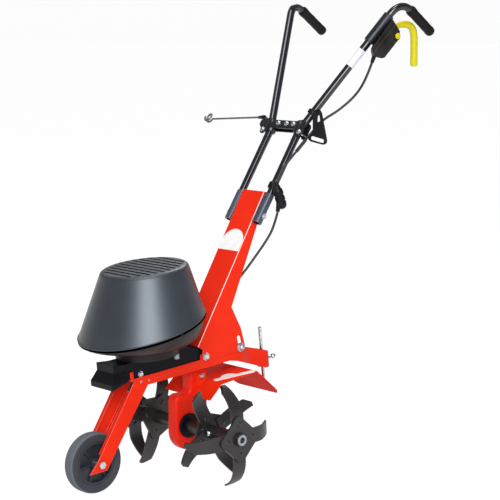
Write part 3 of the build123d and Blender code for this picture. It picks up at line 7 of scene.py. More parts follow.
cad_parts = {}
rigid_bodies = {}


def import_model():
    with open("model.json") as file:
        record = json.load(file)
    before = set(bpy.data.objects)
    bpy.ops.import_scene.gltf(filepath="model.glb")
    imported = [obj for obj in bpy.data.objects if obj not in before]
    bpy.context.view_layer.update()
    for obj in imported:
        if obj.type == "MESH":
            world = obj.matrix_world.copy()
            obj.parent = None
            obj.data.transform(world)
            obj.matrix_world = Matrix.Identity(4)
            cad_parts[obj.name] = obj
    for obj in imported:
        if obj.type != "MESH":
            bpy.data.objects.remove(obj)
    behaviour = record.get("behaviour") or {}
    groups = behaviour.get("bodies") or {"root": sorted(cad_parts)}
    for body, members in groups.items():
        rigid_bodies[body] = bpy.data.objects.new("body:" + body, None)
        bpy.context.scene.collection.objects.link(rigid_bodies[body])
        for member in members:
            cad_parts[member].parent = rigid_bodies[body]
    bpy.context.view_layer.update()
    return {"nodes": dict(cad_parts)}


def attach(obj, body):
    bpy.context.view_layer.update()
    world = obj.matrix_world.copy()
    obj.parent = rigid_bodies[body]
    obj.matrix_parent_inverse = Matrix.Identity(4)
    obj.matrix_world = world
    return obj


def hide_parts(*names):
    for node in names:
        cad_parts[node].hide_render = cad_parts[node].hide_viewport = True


for stray in list(bpy.data.objects):
    bpy.data.objects.remove(stray)
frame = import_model()


# Frame channel, fork arms and depth spur bracket: folded from steel sheet, punched, and
# sprayed in one coat of red-orange gloss that lies a little deeper in soft clouds.
class Wire:
    """A socket of a node tree; arithmetic on it adds Math nodes."""

    def __init__(self, tree, socket):
        self.tree = tree
        self.socket = socket

    def node(self, kind, sockets=None, output=0, **settings):
        """Add a node, set it up, feed its sockets and hand back one of its outputs."""
        made = self.tree.nodes.new(kind)
        for name, value in settings.items():
            setattr(made, name, value)
        for name, value in (sockets or {}).items():
            for part in value if isinstance(value, list) else [value]:
                if isinstance(part, Wire):
                    self.tree.links.new(part.socket, made.inputs[name])
                else:
                    made.inputs[name].default_value = part
        return Wire(self.tree, made.outputs[output])

    def maths(self, operation, first, second):
        return self.node("ShaderNodeMath", {0: first, 1: second}, operation=operation)

    def __add__(self, other):
        return self.maths("ADD", self, other)

    __radd__ = __add__

    def __sub__(self, other):
        return self.maths("SUBTRACT", self, other)

    def __rsub__(self, other):
        return self.maths("SUBTRACT", other, self)

    def __mul__(self, other):
        return self.maths("MULTIPLY", self, other)

    __rmul__ = __mul__

    def __truediv__(self, other):
        return self.maths("DIVIDE", self, other)

    def __gt__(self, other):
        return self.maths("GREATER_THAN", self, other)

    def __abs__(self):
        return self.maths("ABSOLUTE", self, 0.0)

    def dot(self, way):
        """How far this place or normal reaches along a way."""
        sides = {0: self, 1: way}
        return self.node("ShaderNodeVectorMath", sides, "Value", operation="DOT_PRODUCT")

    def clipped(self, low, high):
        """Rescaled so that low gives 0 and high gives 1, and held between them."""
        ends = {"Value": self, "From Min": low, "From Max": high}
        return self.node("ShaderNodeMapRange", ends, clamp=True)

    def mix(self, first, second):
        """Colour that goes from first to second as this value goes from 0 to 1."""
        colours = {0: self, 6: first, 7: second}
        return self.node("ShaderNodeMix", colours, output=2, data_type="RGBA")


def tone(red, green, blue):
    """A paint colour, from the 0 to 255 numbers of a colour chart."""
    return tuple((c / 255) ** 2.2 for c in (red, green, blue)) + (1.0,)


def start_finish(name, level=0.5, **plain):
    """A new finish with its even values set, and the object's own coordinates to draw on."""
    finish = bpy.data.materials.new(name)
    finish.use_nodes = True
    shader = finish.node_tree.nodes["Principled BSDF"]
    shader.inputs["Specular IOR Level"].default_value = level
    for socket, value in plain.items():
        shader.inputs[socket.replace("_", " ").title()].default_value = value
    coordinates = finish.node_tree.nodes.new("ShaderNodeTexCoord")
    return finish, shader, Wire(finish.node_tree, coordinates.outputs["Object"])


def feed(shader, **wires):
    """Join what varies over the surface to the shader."""
    for name, wire in wires.items():
        wire.tree.links.new(wire.socket, shader.inputs[name.replace("_", " ").title()])


def speckle(place, scale, detail):
    """Soft noise, with about that many blotches to the metre."""
    return place.node("ShaderNodeTexNoise", {"Vector": place, "Scale": scale, "Detail": detail})


def clouded(place, scale, detail):
    """Soft noise that is drawn out to run from 0 to 1."""
    return speckle(place, scale, detail).clipped(0.35, 0.7)


def rounded(place, radius):
    """Normals that run round the edges of a sheet or casting, as a real bend does."""
    return place.node("ShaderNodeBevel", {"Radius": radius}, samples=6)


def edge_of(place, soft):
    """1 along the rounded edges, 0 on the flats."""
    flat = place.node("ShaderNodeNewGeometry", output="Normal")
    return (1 - soft.dot(flat)).clipped(0.02, 0.3)


def bumped(place, height, strength, depth, **soft):
    """Fine relief, laid over the rounded edges where those are given."""
    relief = {"Strength": strength, "Distance": depth, "Height": height, **soft}
    return place.node("ShaderNodeBump", relief)


def painted(name, colour, pooled, highlight_tone, gloss=0.32, level=0.1, skin=(700.0, 0.1), bend=0.0007):
    """Sprayed gloss: pools in soft clouds, shows the metal's skin, has a painted edge highlight."""
    finish, shader, place = start_finish(name, level)
    soft = rounded(place, bend)
    pools = clouded(place, 7.0, 3.0)
    dust = speckle(place, 210.0, 4.0).clipped(0.52, 0.74)
    # Paler edges: a painted highlight.
    highlight_share = edge_of(place, soft) * 0.7
    feed(
        shader,
        base_color=highlight_share.mix(pools.mix(colour, pooled), highlight_tone),
        roughness=gloss + 0.07 * pools + 0.1 * dust,
        normal=bumped(place, speckle(place, skin[0], 1.0), skin[1], 0.0004, Normal=soft),
    )
    return finish


def coat(finish, *names):
    """Give a finish to pieces that keep their shape from the frame."""
    for name in names:
        for slot in frame["nodes"][name].material_slots:
            slot.material = finish


# The third tone of each red is its painted edge highlight, paler and wider on the forks.
fresh_red, deep_red, highlight_red = tone(232, 50, 26), tone(222, 42, 21), tone(250, 150, 128)
coat(painted("red_gloss", fresh_red, deep_red, highlight_red), "main_frame", "spur_bracket")
pale_highlight_red = tone(255, 206, 196)
coat(painted("red_edged", fresh_red, deep_red, pale_highlight_red, bend=0.0016), "fork_left", "fork_right")


# Gear case: two iron castings with a sand-cast skin under the same red, drawn together by
# round-headed screws that are painted over.
# The third tone is the painted edge highlight.
red_casting = painted(
    "red_casting", tone(224, 42, 24), tone(206, 34, 20), tone(240, 96, 74),
    gloss=0.34, level=0.14, skin=(170.0, 0.3),
)
coat(red_casting, "gear_case_left", "gear_case_right")
crease = 0.6  # radians: an edge that turns further than this stays sharp


def open_tree(name, *sizes):
    """A tree of geometry nodes with a start shape and one named input for each size."""
    tree = bpy.data.node_groups.new(name, "GeometryNodeTree")
    inputs = {"Start": "Geometry", **dict.fromkeys(sizes, "Float"), "Finish": "Material"}
    for label, kind in inputs.items():
        tree.interface.new_socket(label, in_out="INPUT", socket_type="NodeSocket" + kind)
    tree.interface.new_socket("Shape", in_out="OUTPUT", socket_type="NodeSocketGeometry")
    entry = tree.nodes.new("NodeGroupInput")
    return tree, {socket.name: Wire(tree, socket) for socket in entry.outputs if socket.name}


def close_tree(tree, shape, finish):
    """Make the copies real, crease their sharp edges and give them their finish."""
    real = shape.node("GeometryNodeRealizeInstances", {"Geometry": shape})
    flow = {"Geometry": real, "Shade Smooth": True}
    smooth = shape.node("GeometryNodeSetShadeSmooth", flow, domain="FACE")
    sharp = shape.node("GeometryNodeInputMeshEdgeAngle") > crease
    folds = {"Geometry": smooth, "Selection": sharp, "Shade Smooth": False}
    creased = shape.node("GeometryNodeSetShadeSmooth", folds, domain="EDGE")
    done = shape.node("GeometryNodeSetMaterial", {"Geometry": creased, "Material": finish})
    tree.links.new(done.socket, tree.nodes.new("NodeGroupOutput").inputs["Shape"])


def shown(name, data):
    """A new object in the scene."""
    made = bpy.data.objects.new(name, data)
    bpy.context.scene.collection.objects.link(made)
    return made


def meshed(drawn):
    """The mesh that an object shows, with its modifiers and bevels made real."""
    seen = drawn.evaluated_get(bpy.context.evaluated_depsgraph_get())
    return bpy.data.meshes.new_from_object(seen)


def mounted(name, mesh, body):
    """A finished mesh as a piece that rides on a body."""
    piece = shown(name, mesh)
    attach(piece, body)
    return piece


def grown(name, tree, start, body, slot, **values):
    """Run a tree on a start mesh and keep the result as a plain piece that rides on a body."""
    seed = shown(name + ".start", start)
    growth = seed.modifiers.new("growth", "NODES")
    growth.node_group = tree
    for socket in tree.interface.items_tree:
        key = socket.name.lower().replace(" ", "_")
        if socket.in_out == "INPUT" and key in values:
            growth[socket.identifier] = values[key]
    mesh = meshed(seed)
    mesh.name = name
    seed.modifiers.remove(growth)
    bpy.data.objects.remove(seed)
    return mounted(name, mesh, body)


def seats(name, places):
    """Bare points, each with the way that its head or ring faces."""
    mesh = bpy.data.meshes.new(name)
    mesh.from_pydata([spot for spot, way in places], [], [])
    facing = mesh.attributes.new("facing", "FLOAT_VECTOR", "POINT")
    for value, (spot, way) in zip(facing.data, places):
        value.vector = way
    return mesh


def copies(points, shape, way):
    """Copies of a shape on points, each turned to face its own way."""
    turn = shape.node("FunctionNodeAlignRotationToVector", {"Vector": way}, axis="Z")
    placed = {"Points": points, "Instance": shape, "Rotation": turn}
    return shape.node("GeometryNodeInstanceOnPoints", placed)


def set_on(start, shape):
    """Copies of a shape on the seats of a start, each facing as its seat does."""
    kind, label = "GeometryNodeInputNamedAttribute", {"Name": "facing"}
    return copies(start, shape, shape.node(kind, label, data_type="FLOAT_VECTOR"))


def lifted(shape, height):
    """The shape moved along its own axis."""
    way = shape.node("ShaderNodeCombineXYZ", {"Z": height})
    return shape.node("GeometryNodeTransform", {"Geometry": shape, "Translation": way})


def cylinder(radius, depth, count):
    """A round or many-sided bar, centred on the origin."""
    sizes = {"Vertices": count, "Radius": radius, "Depth": depth}
    return radius.node("GeometryNodeMeshCylinder", sizes)


def joined(*shapes):
    """Several shapes as one."""
    return shapes[0].node("GeometryNodeJoinGeometry", {"Geometry": list(shapes)})


dome_tree, given = open_tree("dome_screws", "Head", "Proud", "Shank", "Length")
head = given["Head"]
ball = head.node("GeometryNodeMeshUVSphere", {"Segments": 20, "Rings": 10, "Radius": head})
press = ball.node("ShaderNodeCombineXYZ", {"X": 1.0, "Y": 1.0, "Z": given["Proud"] / head})
dome = ball.node("GeometryNodeTransform", {"Geometry": ball, "Scale": press})
stem = cylinder(given["Shank"], given["Length"], 16)
whole = joined(dome, lifted(stem, given["Length"] * -0.5))
close_tree(dome_tree, set_on(given["Start"], whole), given["Finish"])


def domes(name, places, body, slot, finish, **size):
    """Dome-headed screws or rivets of one size, with their heads on the places given."""
    start = seats(name + "_seats", places)
    return grown(name, dome_tree, start, body, slot, finish=finish, **size)


case_face = 0.017
case_corners = ((-0.019, 0.161), (-0.016, 0.080), (0.037, 0.080), (0.040, 0.161))
domes(
    "case_screws",
    [((side * case_face, *spot), (side, 0, 0)) for side in (1, -1) for spot in case_corners],
    "machine", "red_paint", red_casting,
    head=0.0042, proud=0.0026, shank=0.002, length=0.004,
)


# Bearing caps on the case: black plastic mouldings with a fine spark-eroded grain, a little
# paler along the edges.
def moulded(name, colour, faded, roughness, grain, level=0.4, edge=0.25, bend=0.0008):
    """Grained plastic: clouded softly, paler along the edges and polished there."""
    finish, shader, place = start_finish(name, level)
    soft = rounded(place, bend)
    clouds = clouded(place, 14.0, 4.0)
    edge_pale = edge_of(place, soft) * edge
    feed(
        shader,
        base_color=(edge_pale + 0.5 * clouds).clipped(0.0, 1.0).mix(colour, faded),
        roughness=roughness + 0.1 * (clouds - 0.5) - 0.1 * edge_pale,
        normal=bumped(place, speckle(place, grain, 2.0), 0.2, 0.0003, Normal=soft),
    )
    return finish


cover_black = moulded("cover_black", tone(20, 20, 25), tone(30, 30, 36), 0.42, 1400.0, level=0.12)
coat(cover_black, "bearing_caps")


# Worm gear, belt pulleys, bearings and tine shaft: turned steel with fine marks of the tool.
# The stator and rotor are laminated steel with brown varnish.
def plated(name, colour, dull, roughness, mottle):
    """Bare or plated metal: mottled in small patches, with fine marks from the tool."""
    finish, shader, place = start_finish(name, metallic=1.0)
    soft = rounded(place, 0.0005)
    patches = speckle(place, mottle, 3.0).clipped(0.35, 0.68)
    feed(
        shader,
        base_color=patches.mix(colour, dull),
        roughness=roughness + 0.14 * patches,
        normal=bumped(place, speckle(place, 2600.0, 2.0), 0.1, 0.0002, Normal=soft),
    )
    return finish


core_steel = plated("core_steel", tone(120, 96, 74), tone(84, 70, 58), 0.4, 90.0)
coat(core_steel, "motor_stator", "motor_rotor")
turned_steel = plated("turned_steel", tone(178, 182, 190), tone(146, 150, 158), 0.3, 70.0)
coat(turned_steel, "drive_bearings", "drive_pulley", "driven_pulley", "worm_shaft", "worm_wheel")
coat(turned_steel, "gear_bearings", "tine_shaft")


# Tine stars: square plates welded on a hub tube, with forged blades riveted to them. They are
# dipped in brown-black paint, and the flats catch a faint sheen.
# The pale blue-grey third tone is the painted edge highlight.
tine_black = painted(
    "tine_black", tone(40, 36, 38), tone(31, 27, 28), tone(88, 87, 96),
    gloss=0.36, level=0.55, skin=(240.0, 0.35),
)
coat(tine_black, "tine_hub_left", "tine_hub_right", "tine_outer_left", "tine_outer_right")
coat(tine_black, "tine_inner_left", "tine_inner_right")


def skinned(name, shape, body, finish):
    """Close up a shape, shade it round where it is round, give it a finish and mount it."""
    bmesh.ops.remove_doubles(shape, verts=shape.verts, dist=0.000002)
    bmesh.ops.recalc_face_normals(shape, faces=shape.faces)
    for face in shape.faces:
        face.smooth = True
    for edge in shape.edges:
        edge.smooth = edge.calc_face_angle(0.0) < crease
    mesh = bpy.data.meshes.new(name)
    shape.to_mesh(mesh)
    shape.free()
    mesh.materials.append(finish)
    return mounted(name, mesh, body)


def walled(rings):
    """Walls from each ring of points to the next, which has as many, and the rings' corners."""
    shape = bmesh.new()
    loops = [[shape.verts.new(spot) for spot in circle] for circle in rings]
    for here, there in zip(loops, loops[1:]):
        for step in range(len(here)):
            after = (step + 1) % len(here)
            shape.faces.new((here[step], here[after], there[after], there[step]))
    return shape, loops


def prism(front, back):
    """A solid between two outlines."""
    shape, (rear_rim, front_rim) = walled([back, front])
    shape.faces.new(front_rim)
    shape.faces.new(rear_rim[::-1])
    return shape


def arc(centre, radius, start, end, count):
    """Points round part of a circle, in degrees."""
    spread = [radians(start + (end - start) * step / count) for step in range(count + 1)]
    return [(centre[0] + radius * cos(a), centre[1] + radius * sin(a)) for a in spread]


shaft_height = 0.120
plate_thick, corner_reach, corner_round, rivet_reach = 0.0052, 0.0453, 0.010, 0.036
rivet_seats = []
for side, inner_turn, name in ((1, 30, "left"), (-1, 75, "right")):
    for row, turn, plate_seat, near, far in (
        ("outer", 4, 0.2029, 0.1985, 0.208),
        ("inner", inner_turn, 0.0979, 0.098, 0.1075),
    ):
        outline = []
        for angle in (turn, turn + 90, turn + 180, turn + 270):
            y, z = cos(radians(angle)), sin(radians(angle))
            corner = (corner_reach * y, shaft_height + corner_reach * z)
            outline += arc(corner, corner_round, angle - 45, angle + 45, 6)
            rivet = (rivet_reach * y, shaft_height + rivet_reach * z)
            rivet_seats.append(((side * near, *rivet), (-side, 0, 0)))
            rivet_seats.append(((side * far, *rivet), (side, 0, 0)))
        front = [(side * (plate_seat + plate_thick), *spot) for spot in outline]
        back = [(side * plate_seat, *spot) for spot in outline]
        plate = prism(front, back)
        skinned(f"star_plate_{row}_{name}", plate, "tines", tine_black)
tine_rivets = domes(
    "tine_rivets", rivet_seats, "tines", "tine_steel", tine_black,
    head=0.0064, proud=0.0026, shank=0.0039, length=0.0047,
)
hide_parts("tine_fasteners")


# Hub pins: zinc-plated bolts through the hub tubes and the shaft, with a washer under the
# head. The same hexagon bolts, in other sizes, hold the rest of the machine together.
zinc = plated("zinc", tone(214, 217, 222), tone(172, 176, 182), 0.18, 150.0)
bolt_tree, given = open_tree("hexagon_bolts", "Head", "Tall", "Washer", "Shank", "Length")
head, tall = given["Head"], given["Tall"]
chamfer = head.node(
    "GeometryNodeMeshCone",
    {"Vertices": 6, "Radius Top": head * 0.8, "Radius Bottom": head, "Depth": tall * 0.2},
)
whole = joined(
    lifted(cylinder(given["Washer"], tall * 0.28, 28), tall * 0.14),
    lifted(cylinder(head, tall * 0.66, 6), tall * 0.47),
    lifted(chamfer, tall * 0.8),
    lifted(cylinder(given["Shank"], given["Length"], 18), given["Length"] * -0.5),
)
close_tree(bolt_tree, set_on(given["Start"], whole), given["Finish"])


def bolts(name, places, body, **size):
    """Hexagon bolts of one size, with their heads on the places given."""
    start = seats(name + "_seats", places)
    return grown(name, bolt_tree, start, body, "zinc", finish=zinc, **size)


pin_x, hub_radius = 0.112, 0.0158
pin_places = []
for side in (1, -1):
    for way in (1, -1):
        pin_places.append(((side * pin_x, way * hub_radius, shaft_height), (0, way, 0)))
bolts(
    "hub_pins", pin_places, "tines",
    head=0.0062, tall=0.0055, washer=0.0068, shank=0.0034, length=hub_radius,
)


# Mudguard: one sheet bent twice, slotted round the neck of the gear case and bolted to it by
# two small tabs. A bare white sticker with a hump lies on the top of it.
coat(painted("red_guard", fresh_red, deep_red, highlight_red, gloss=0.45, level=0.03), "mudguard")
sticker_white, shader, place = start_finish("sticker_white", level=0.35)
patches = speckle(place, 60.0, 3.0).clipped(0.3, 0.75)
feed(
    shader,
    base_color=patches.mix(tone(246, 246, 244), tone(232, 232, 228)),
    roughness=0.3 + 0.12 * speckle(place, 240.0, 3.0),
)


def sticker(name, outline, origin, across, along, body):
    """A thin bare sticker: its outline on a flat face, given by two ways along it."""
    across, along = Vector(across).normalized(), Vector(along).normalized()
    proud = across.cross(along) * 0.0003
    back = [Vector(origin) + across * u + along * v - proud * 0.1 for u, v in outline]
    front = [spot + proud * 1.1 for spot in back]
    return skinned(name, prism(front, back), body, sticker_white)


guard_outline = arc((0.006, 0.002), 0.006, 180, 270, 5) + arc((0.098, 0.002), 0.006, 270, 360, 5)
guard_outline += arc((0.098, 0.008), 0.006, 0, 90, 5) + arc((0.040, 0.012), 0.019, 8, 172, 16)
guard_outline += arc((0.006, 0.008), 0.006, 90, 180, 5)
guard_across, guard_along = (0.30, 0.942, 0.1469), (-0.953, 0.3, 0.0468)
guard_corner = (0.054, 0.0505, 0.22505)
sticker("guard_sticker", guard_outline, guard_corner, guard_across, guard_along, "machine")


# Drive cover: a black moulding over the belt, clipped to the frame plate. The belt and the fan
# inside are black rubber and grey nylon.
coat(cover_black, "drive_cover")
coat(moulded("belt_rubber", tone(24, 24, 24), tone(40, 40, 40), 0.7, 1800.0), "drive_belt")
coat(moulded("fan_nylon", tone(46, 47, 50), tone(60, 61, 64), 0.5, 900.0), "cooling_fan")


# Motor castings: the base cup and the bearing bracket are cast aluminium, sprayed dull black.
# A pale grey nut guides the lead into the cup from below.
motor_black = moulded("motor_black", tone(36, 32, 33), tone(52, 47, 48), 0.4, 700.0, level=0.22)
coat(motor_black, "motor_base", "motor_bracket")
gland_grey = moulded("gland_grey", tone(150, 153, 156), tone(178, 180, 182), 0.4, 1200.0)
coat(gland_grey, "cable_gland")


# Dish under the cowl: a black moulding that is round at the top, where the leaning cowl sits on
# it, and level at the foot, where a collar closes on the motor cup.
deck_pitch, cowl_lean = radians(6), radians(15.7)
deck_back = (cos(deck_pitch), sin(deck_pitch))
lean_back = (cos(cowl_lean), sin(cowl_lean))
deck_height = 0.274


def deck_spot(along, above):
    """Side-view place of a point given along and above the frame's sloping deck."""
    run, rise = deck_back
    return (along * run - above * rise, deck_height + along * rise + above * run)


def ring(centre, back, radius):
    """Points round a circle that lies across the machine and runs along the way given."""
    spread = arc((0, 0), radius, 0, 360, 96)[:-1]
    return [Vector(centre) + Vector((u, v * back[0], v * back[1])) for u, v in spread]


def above_lip(place):
    """Height over the lower edge of the leaning cowl."""
    lip_height = 0.3914
    return place.dot((0.0, -lean_back[1], lean_back[0])) - lip_height


# The near-black band along the dish's top edge, under the cowl's lip, is a painted shadow.
dish_black, shader, place = start_finish("dish_black", level=0.2)
clouds = clouded(place, 12.0, 4.0)
brown = clouds.mix(tone(44, 37, 38), tone(58, 49, 50))
feed(
    shader,
    base_color=above_lip(place).clipped(-0.008, -0.006).mix(brown, tone(6, 6, 7)),
    roughness=0.38 + 0.1 * clouds,
    normal=bumped(place, speckle(place, 900.0, 2.0), 0.2, 0.0003),
)


def dish_wall(radius, foot_radius, foot_rise):
    """Rings from the leaning edge under the cowl down to the level foot, swelling on the way."""
    edge = ring((0, -0.1215, 0.3667), lean_back, radius)
    foot = ring((0, *deck_spot(-0.107, foot_rise)), deck_back, foot_radius)
    steps, swell_in, swell_up = 8, 0.10, 0.20
    rings = []
    for step in range(steps + 1):
        t = step / steps
        row = []
        for high, low in zip(edge, foot):
            swell = high.lerp(low, swell_in)
            swell.z = low.z + swell_up * (high.z - low.z)
            row.append(high * (1 - t) ** 2 + swell * (2 * t * (1 - t)) + low * t ** 2)
        rings.append(row)
    return rings


def dish_collar(radius, rise):
    """One ring of the collar that closes on the motor cup."""
    return ring((0, *deck_spot(-0.102, rise)), deck_back, radius)


dish_top = (0, -0.1228, 0.3715)
dish_rings = [ring(dish_top, lean_back, 0.147)] + dish_wall(0.147, 0.114, 0.066)
dish_rings += [dish_collar(0.079, 0.065), dish_collar(0.0775, 0.056)]
dish_rings += [dish_collar(0.0753, 0.056), dish_collar(0.0753, 0.069)]
dish_rings += dish_wall(0.144, 0.110, 0.069)[::-1] + [ring(dish_top, lean_back, 0.144)]
dish_shell = walled(dish_rings + dish_rings[:1])[0]
dish = skinned("dish", dish_shell, "machine", dish_black)
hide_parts("motor_pan")


# Motor cowl: one deep moulding in charcoal plastic with ten slots in its crown. Its satin
# grain spreads the light into a broad cool patch; its lip is painted shade, a dull near-black,
# and four dark screws hold it.
def surfaced(place, share, first, second):
    """Show two shaders as the finish's surface: the first where share is 0, the second at 1."""
    whole = place.node("ShaderNodeMixShader", {0: share, 1: first, 2: second})
    place.tree.links.new(whole.socket, place.tree.nodes["Material Output"].inputs["Surface"])


cowl_charcoal, shader, place = start_finish(
    "cowl_charcoal",
    level=1.0, specular_tint=(0.74, 0.87, 1.0, 1.0), coat_weight=0.6, coat_roughness=0.4,
)
soft = rounded(place, 0.0012)
clouds = clouded(place, 9.0, 4.0)
feed(
    shader,
    base_color=clouds.mix(tone(26, 29, 36), tone(33, 36, 44)),
    roughness=0.44 + 0.05 * clouds,
    normal=bumped(place, speckle(place, 1100.0, 2.0), 0.16, 0.0003, Normal=soft),
)
# Dull near-black without gloss below the lip: painted shade.
painted_lip_shade = place.node(
    "ShaderNodeBsdfPrincipled",
    {"Base Color": tone(7, 7, 8), "Roughness": 0.8, "Specular IOR Level": 0.0},
)
satin = Wire(place.tree, shader.outputs[0])
surfaced(place, above_lip(place).clipped(0.0, 0.0008), painted_lip_shade, satin)
coat(cowl_charcoal, "motor_cowl")
lip_middle, lip_radius = Vector((0, -0.1223, 0.3696)), 0.1515
lip_seats = []
for turn in (0, 90, 180, 270):
    back = sin(radians(turn))
    outward = Vector((cos(radians(turn)), lean_back[0] * back, lean_back[1] * back))
    lip_seats.append((lip_middle + outward * lip_radius, outward))
cowl_heads = domes(
    "cowl_heads", lip_seats, "machine", "black_cover", cover_black,
    head=0.0038, proud=0.002, shank=0.002, length=0.004,
)
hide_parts("cowl_screws")


# Front wheel: a solid rubber tyre with moulded rings and a tread that is scuffed pale, on a
# blue-black plastic centre with ribs. It turns on a long zinc-plated bolt between the fork arms.
def turned(name, profile, start, way, finish, count, body="handles"):
    """A shape turned round an axis, from points in millimetres: radius and distance along.

    A profile that doesn't start on the axis is closed up.
    """
    way = Vector(way).normalized()
    side = way.orthogonal().normalized()
    shape = bmesh.new()
    line = [
        shape.verts.new(Vector(start) + way * (along / 1000) + side * (radius / 1000))
        for radius, along in (*profile, *(profile[:1] if profile[0][0] else ()))
    ]
    edges = [shape.edges.new(pair) for pair in zip(line, line[1:])]
    bmesh.ops.spin(
        shape, geom=line + edges, cent=start, axis=way, angle=2 * pi, steps=count, use_merge=True
    )
    return skinned(name, shape, body, finish)


axle = (0.0, -0.263, 0.070)
tyre_grey, shader, place = start_finish("tyre_grey", level=0.3)
off_axle = place.node("ShaderNodeVectorMath", {0: place, 1: axle}, operation="SUBTRACT")
in_plane = {0: off_axle, 1: (0.0, 1.0, 1.0)}
upright = place.node("ShaderNodeVectorMath", in_plane, operation="MULTIPLY")
reach = place.node("ShaderNodeVectorMath", {0: upright}, "Value", operation="LENGTH")
soft = rounded(place, 0.0008)
clouds = clouded(place, 14.0, 4.0)
wall = clouds.mix(tone(52, 54, 60), tone(62, 65, 71))
feed(
    shader,
    base_color=reach.clipped(0.0655, 0.0675).mix(wall, tone(92, 96, 104)),
    roughness=0.6 + 0.1 * clouds,
    normal=bumped(place, speckle(place, 1500.0, 2.0), 0.2, 0.0003, Normal=soft),
)
half_tyre = [(50.05, 13.0), (51.0, 14.8), (52.5, 15.6), (55.0, 15.8), (55.8, 15.0), (57.0, 14.9)]
half_tyre += [(57.8, 15.7), (60.5, 16.0), (63.6, 15.9), (64.2, 14.9), (65.2, 14.5), (66.0, 14.9)]
half_tyre += [(67.6, 13.9), (69.0, 12.2), (69.7, 10.0), (69.9, 8.0), (69.9, 6.2), (68.9, 5.7)]
half_tyre += [(68.9, 4.7), (70.0, 4.2)]
tyre_profile = half_tyre + [(radius, -along) for radius, along in reversed(half_tyre)]
tyre = turned("tyre", tyre_profile, axle, (1, 0, 0), tyre_grey, 112, body="wheel")
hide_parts("wheel_tyre")
wheel_blue = moulded("wheel_blue", tone(38, 41, 48), tone(54, 58, 66), 0.42, 1200.0)
coat(wheel_blue, "wheel_rim")
coat(zinc, "wheel_axle")


# Depth rod with its clamp screw: plain zinc-plated bar, which slides in the spur bracket and is
# held there by the screw.
coat(zinc, "depth_rod", "clamp_screw")


# Column: one folded sheet that straddles the frame and tilts on two bolts; two more clamp it
# in curved slots. A bare white arched sticker lies on its front.
red_column, shader, place = start_finish("red_column", level=0.1)
soft = rounded(place, 0.0005)
pools = clouded(place, 7.0, 3.0)
# The near-white line along each fold and the paler edges are a painted highlight.
facing = place.node("ShaderNodeTexCoord", output="Normal")
sideways = abs(place.node("ShaderNodeSeparateXYZ", {0: facing}))
fold_highlight = sideways.clipped(0.3, 0.42) * (1 - sideways.clipped(0.7, 0.82))
highlight_share = (fold_highlight + 0.5 * edge_of(place, soft)).clipped(0.0, 1.0)
feed(
    shader,
    base_color=highlight_share.mix(pools.mix(fresh_red, deep_red), tone(255, 232, 226)),
    roughness=0.32 + 0.07 * pools - 0.12 * fold_highlight,
    normal=bumped(place, speckle(place, 700.0, 1.0), 0.1, 0.0004, Normal=soft),
)
coat(red_column, "column")
arch = [(-0.037, 0.0), (0.037, 0.0), (0.037, 0.030)]
arch += arc((0.0, 0.0155), 0.0398, 21, 159, 26) + [(-0.037, 0.030)]
sticker(
    "column_sticker", arch, (0, 0.13552, 0.52433), (1, 0, 0), (0, 0.49758, 0.86742), "handles"
)


def both_sides(x, spot, outward=1):
    """The same place on each side of the machine, facing out, or in where outward is -1."""
    return [((side * x, *spot), (side * outward, 0, 0)) for side in (1, -1)]


column_face, clamp_head_face = 0.0403, 0.0468
pivot, clamp = deck_spot(0.035, 0.0064), deck_spot(0.141, 0.005)
bolts(
    "pivot_heads", both_sides(column_face, pivot), "machine",
    head=0.008, tall=0.0066, washer=0.0092, shank=0.0049, length=0.0068,
)
column_bolt_heads = bolts(
    "column_bolt_heads", both_sides(column_face, clamp), "machine",
    head=0.0092, tall=0.0072, washer=0.0108, shank=0.0049, length=0.0068,
)
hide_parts("column_bolts")
domes(
    "clamp_domes", both_sides(clamp_head_face, clamp), "machine", "zinc", zinc,
    head=0.0066, proud=0.0052, shank=0.004, length=0.003,
)


# Small bolts of the frame: two hold the cover, four the fork arms from inside, and two the
# tabs of the mudguard.
cover_face, fork_face, tab_face = 0.0325, 0.0305, 0.0193
frame_places = both_sides(cover_face, deck_spot(-0.151, 0.0068))
frame_places += both_sides(fork_face, deck_spot(-0.154, -0.010), outward=-1)
frame_places += both_sides(fork_face, deck_spot(-0.132, -0.012), outward=-1)
frame_places += both_sides(tab_face, (0.039, 0.233))
frame_bolt_heads = bolts(
    "frame_bolt_heads", frame_places, "machine",
    head=0.0062, tall=0.005, washer=0.0072, shank=0.0029, length=0.0058,
)
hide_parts("frame_bolts")


# Handle tubes: drawn steel tube in blue-black gloss enamel, standing in dark grey sockets on the
# column. A bare silver sticker is wrapped round the left one.
def enamelled(name, colour, hazy, gloss, level):
    """Gloss enamel on drawn tube: hardly any relief, a breath of haze."""
    finish, shader, place = start_finish(name, level)
    haze = clouded(place, 11.0, 3.0)
    feed(
        shader,
        base_color=haze.mix(colour, hazy),
        roughness=gloss + 0.05 * haze,
        normal=bumped(place, speckle(place, 60.0, 1.0), 0.02, 0.0004),
    )
    return finish


tube_black = enamelled("tube_black", tone(18, 20, 28), tone(24, 26, 34), gloss=0.13, level=0.7)
coat(tube_black, "lower_tube_left", "lower_tube_right")
socket_grey = enamelled("socket_grey", tone(54, 61, 77), tone(64, 71, 88), gloss=0.3, level=0.6)
coat(socket_grey, "socket_left", "socket_right")


def smooth_line(name, route):
    """One smooth line past the points of a route."""
    line = bpy.data.curves.new(name, "CURVE")
    line.dimensions = "3D"
    spline = line.splines.new("NURBS")
    spline.points.add(len(route) - 1)
    for point, spot in zip(spline.points, route):
        point.co = (*spot, 1.0)
    spline.order_u = 3
    spline.use_endpoint_u = True
    spline.resolution_u = 16
    return shown(name, line)


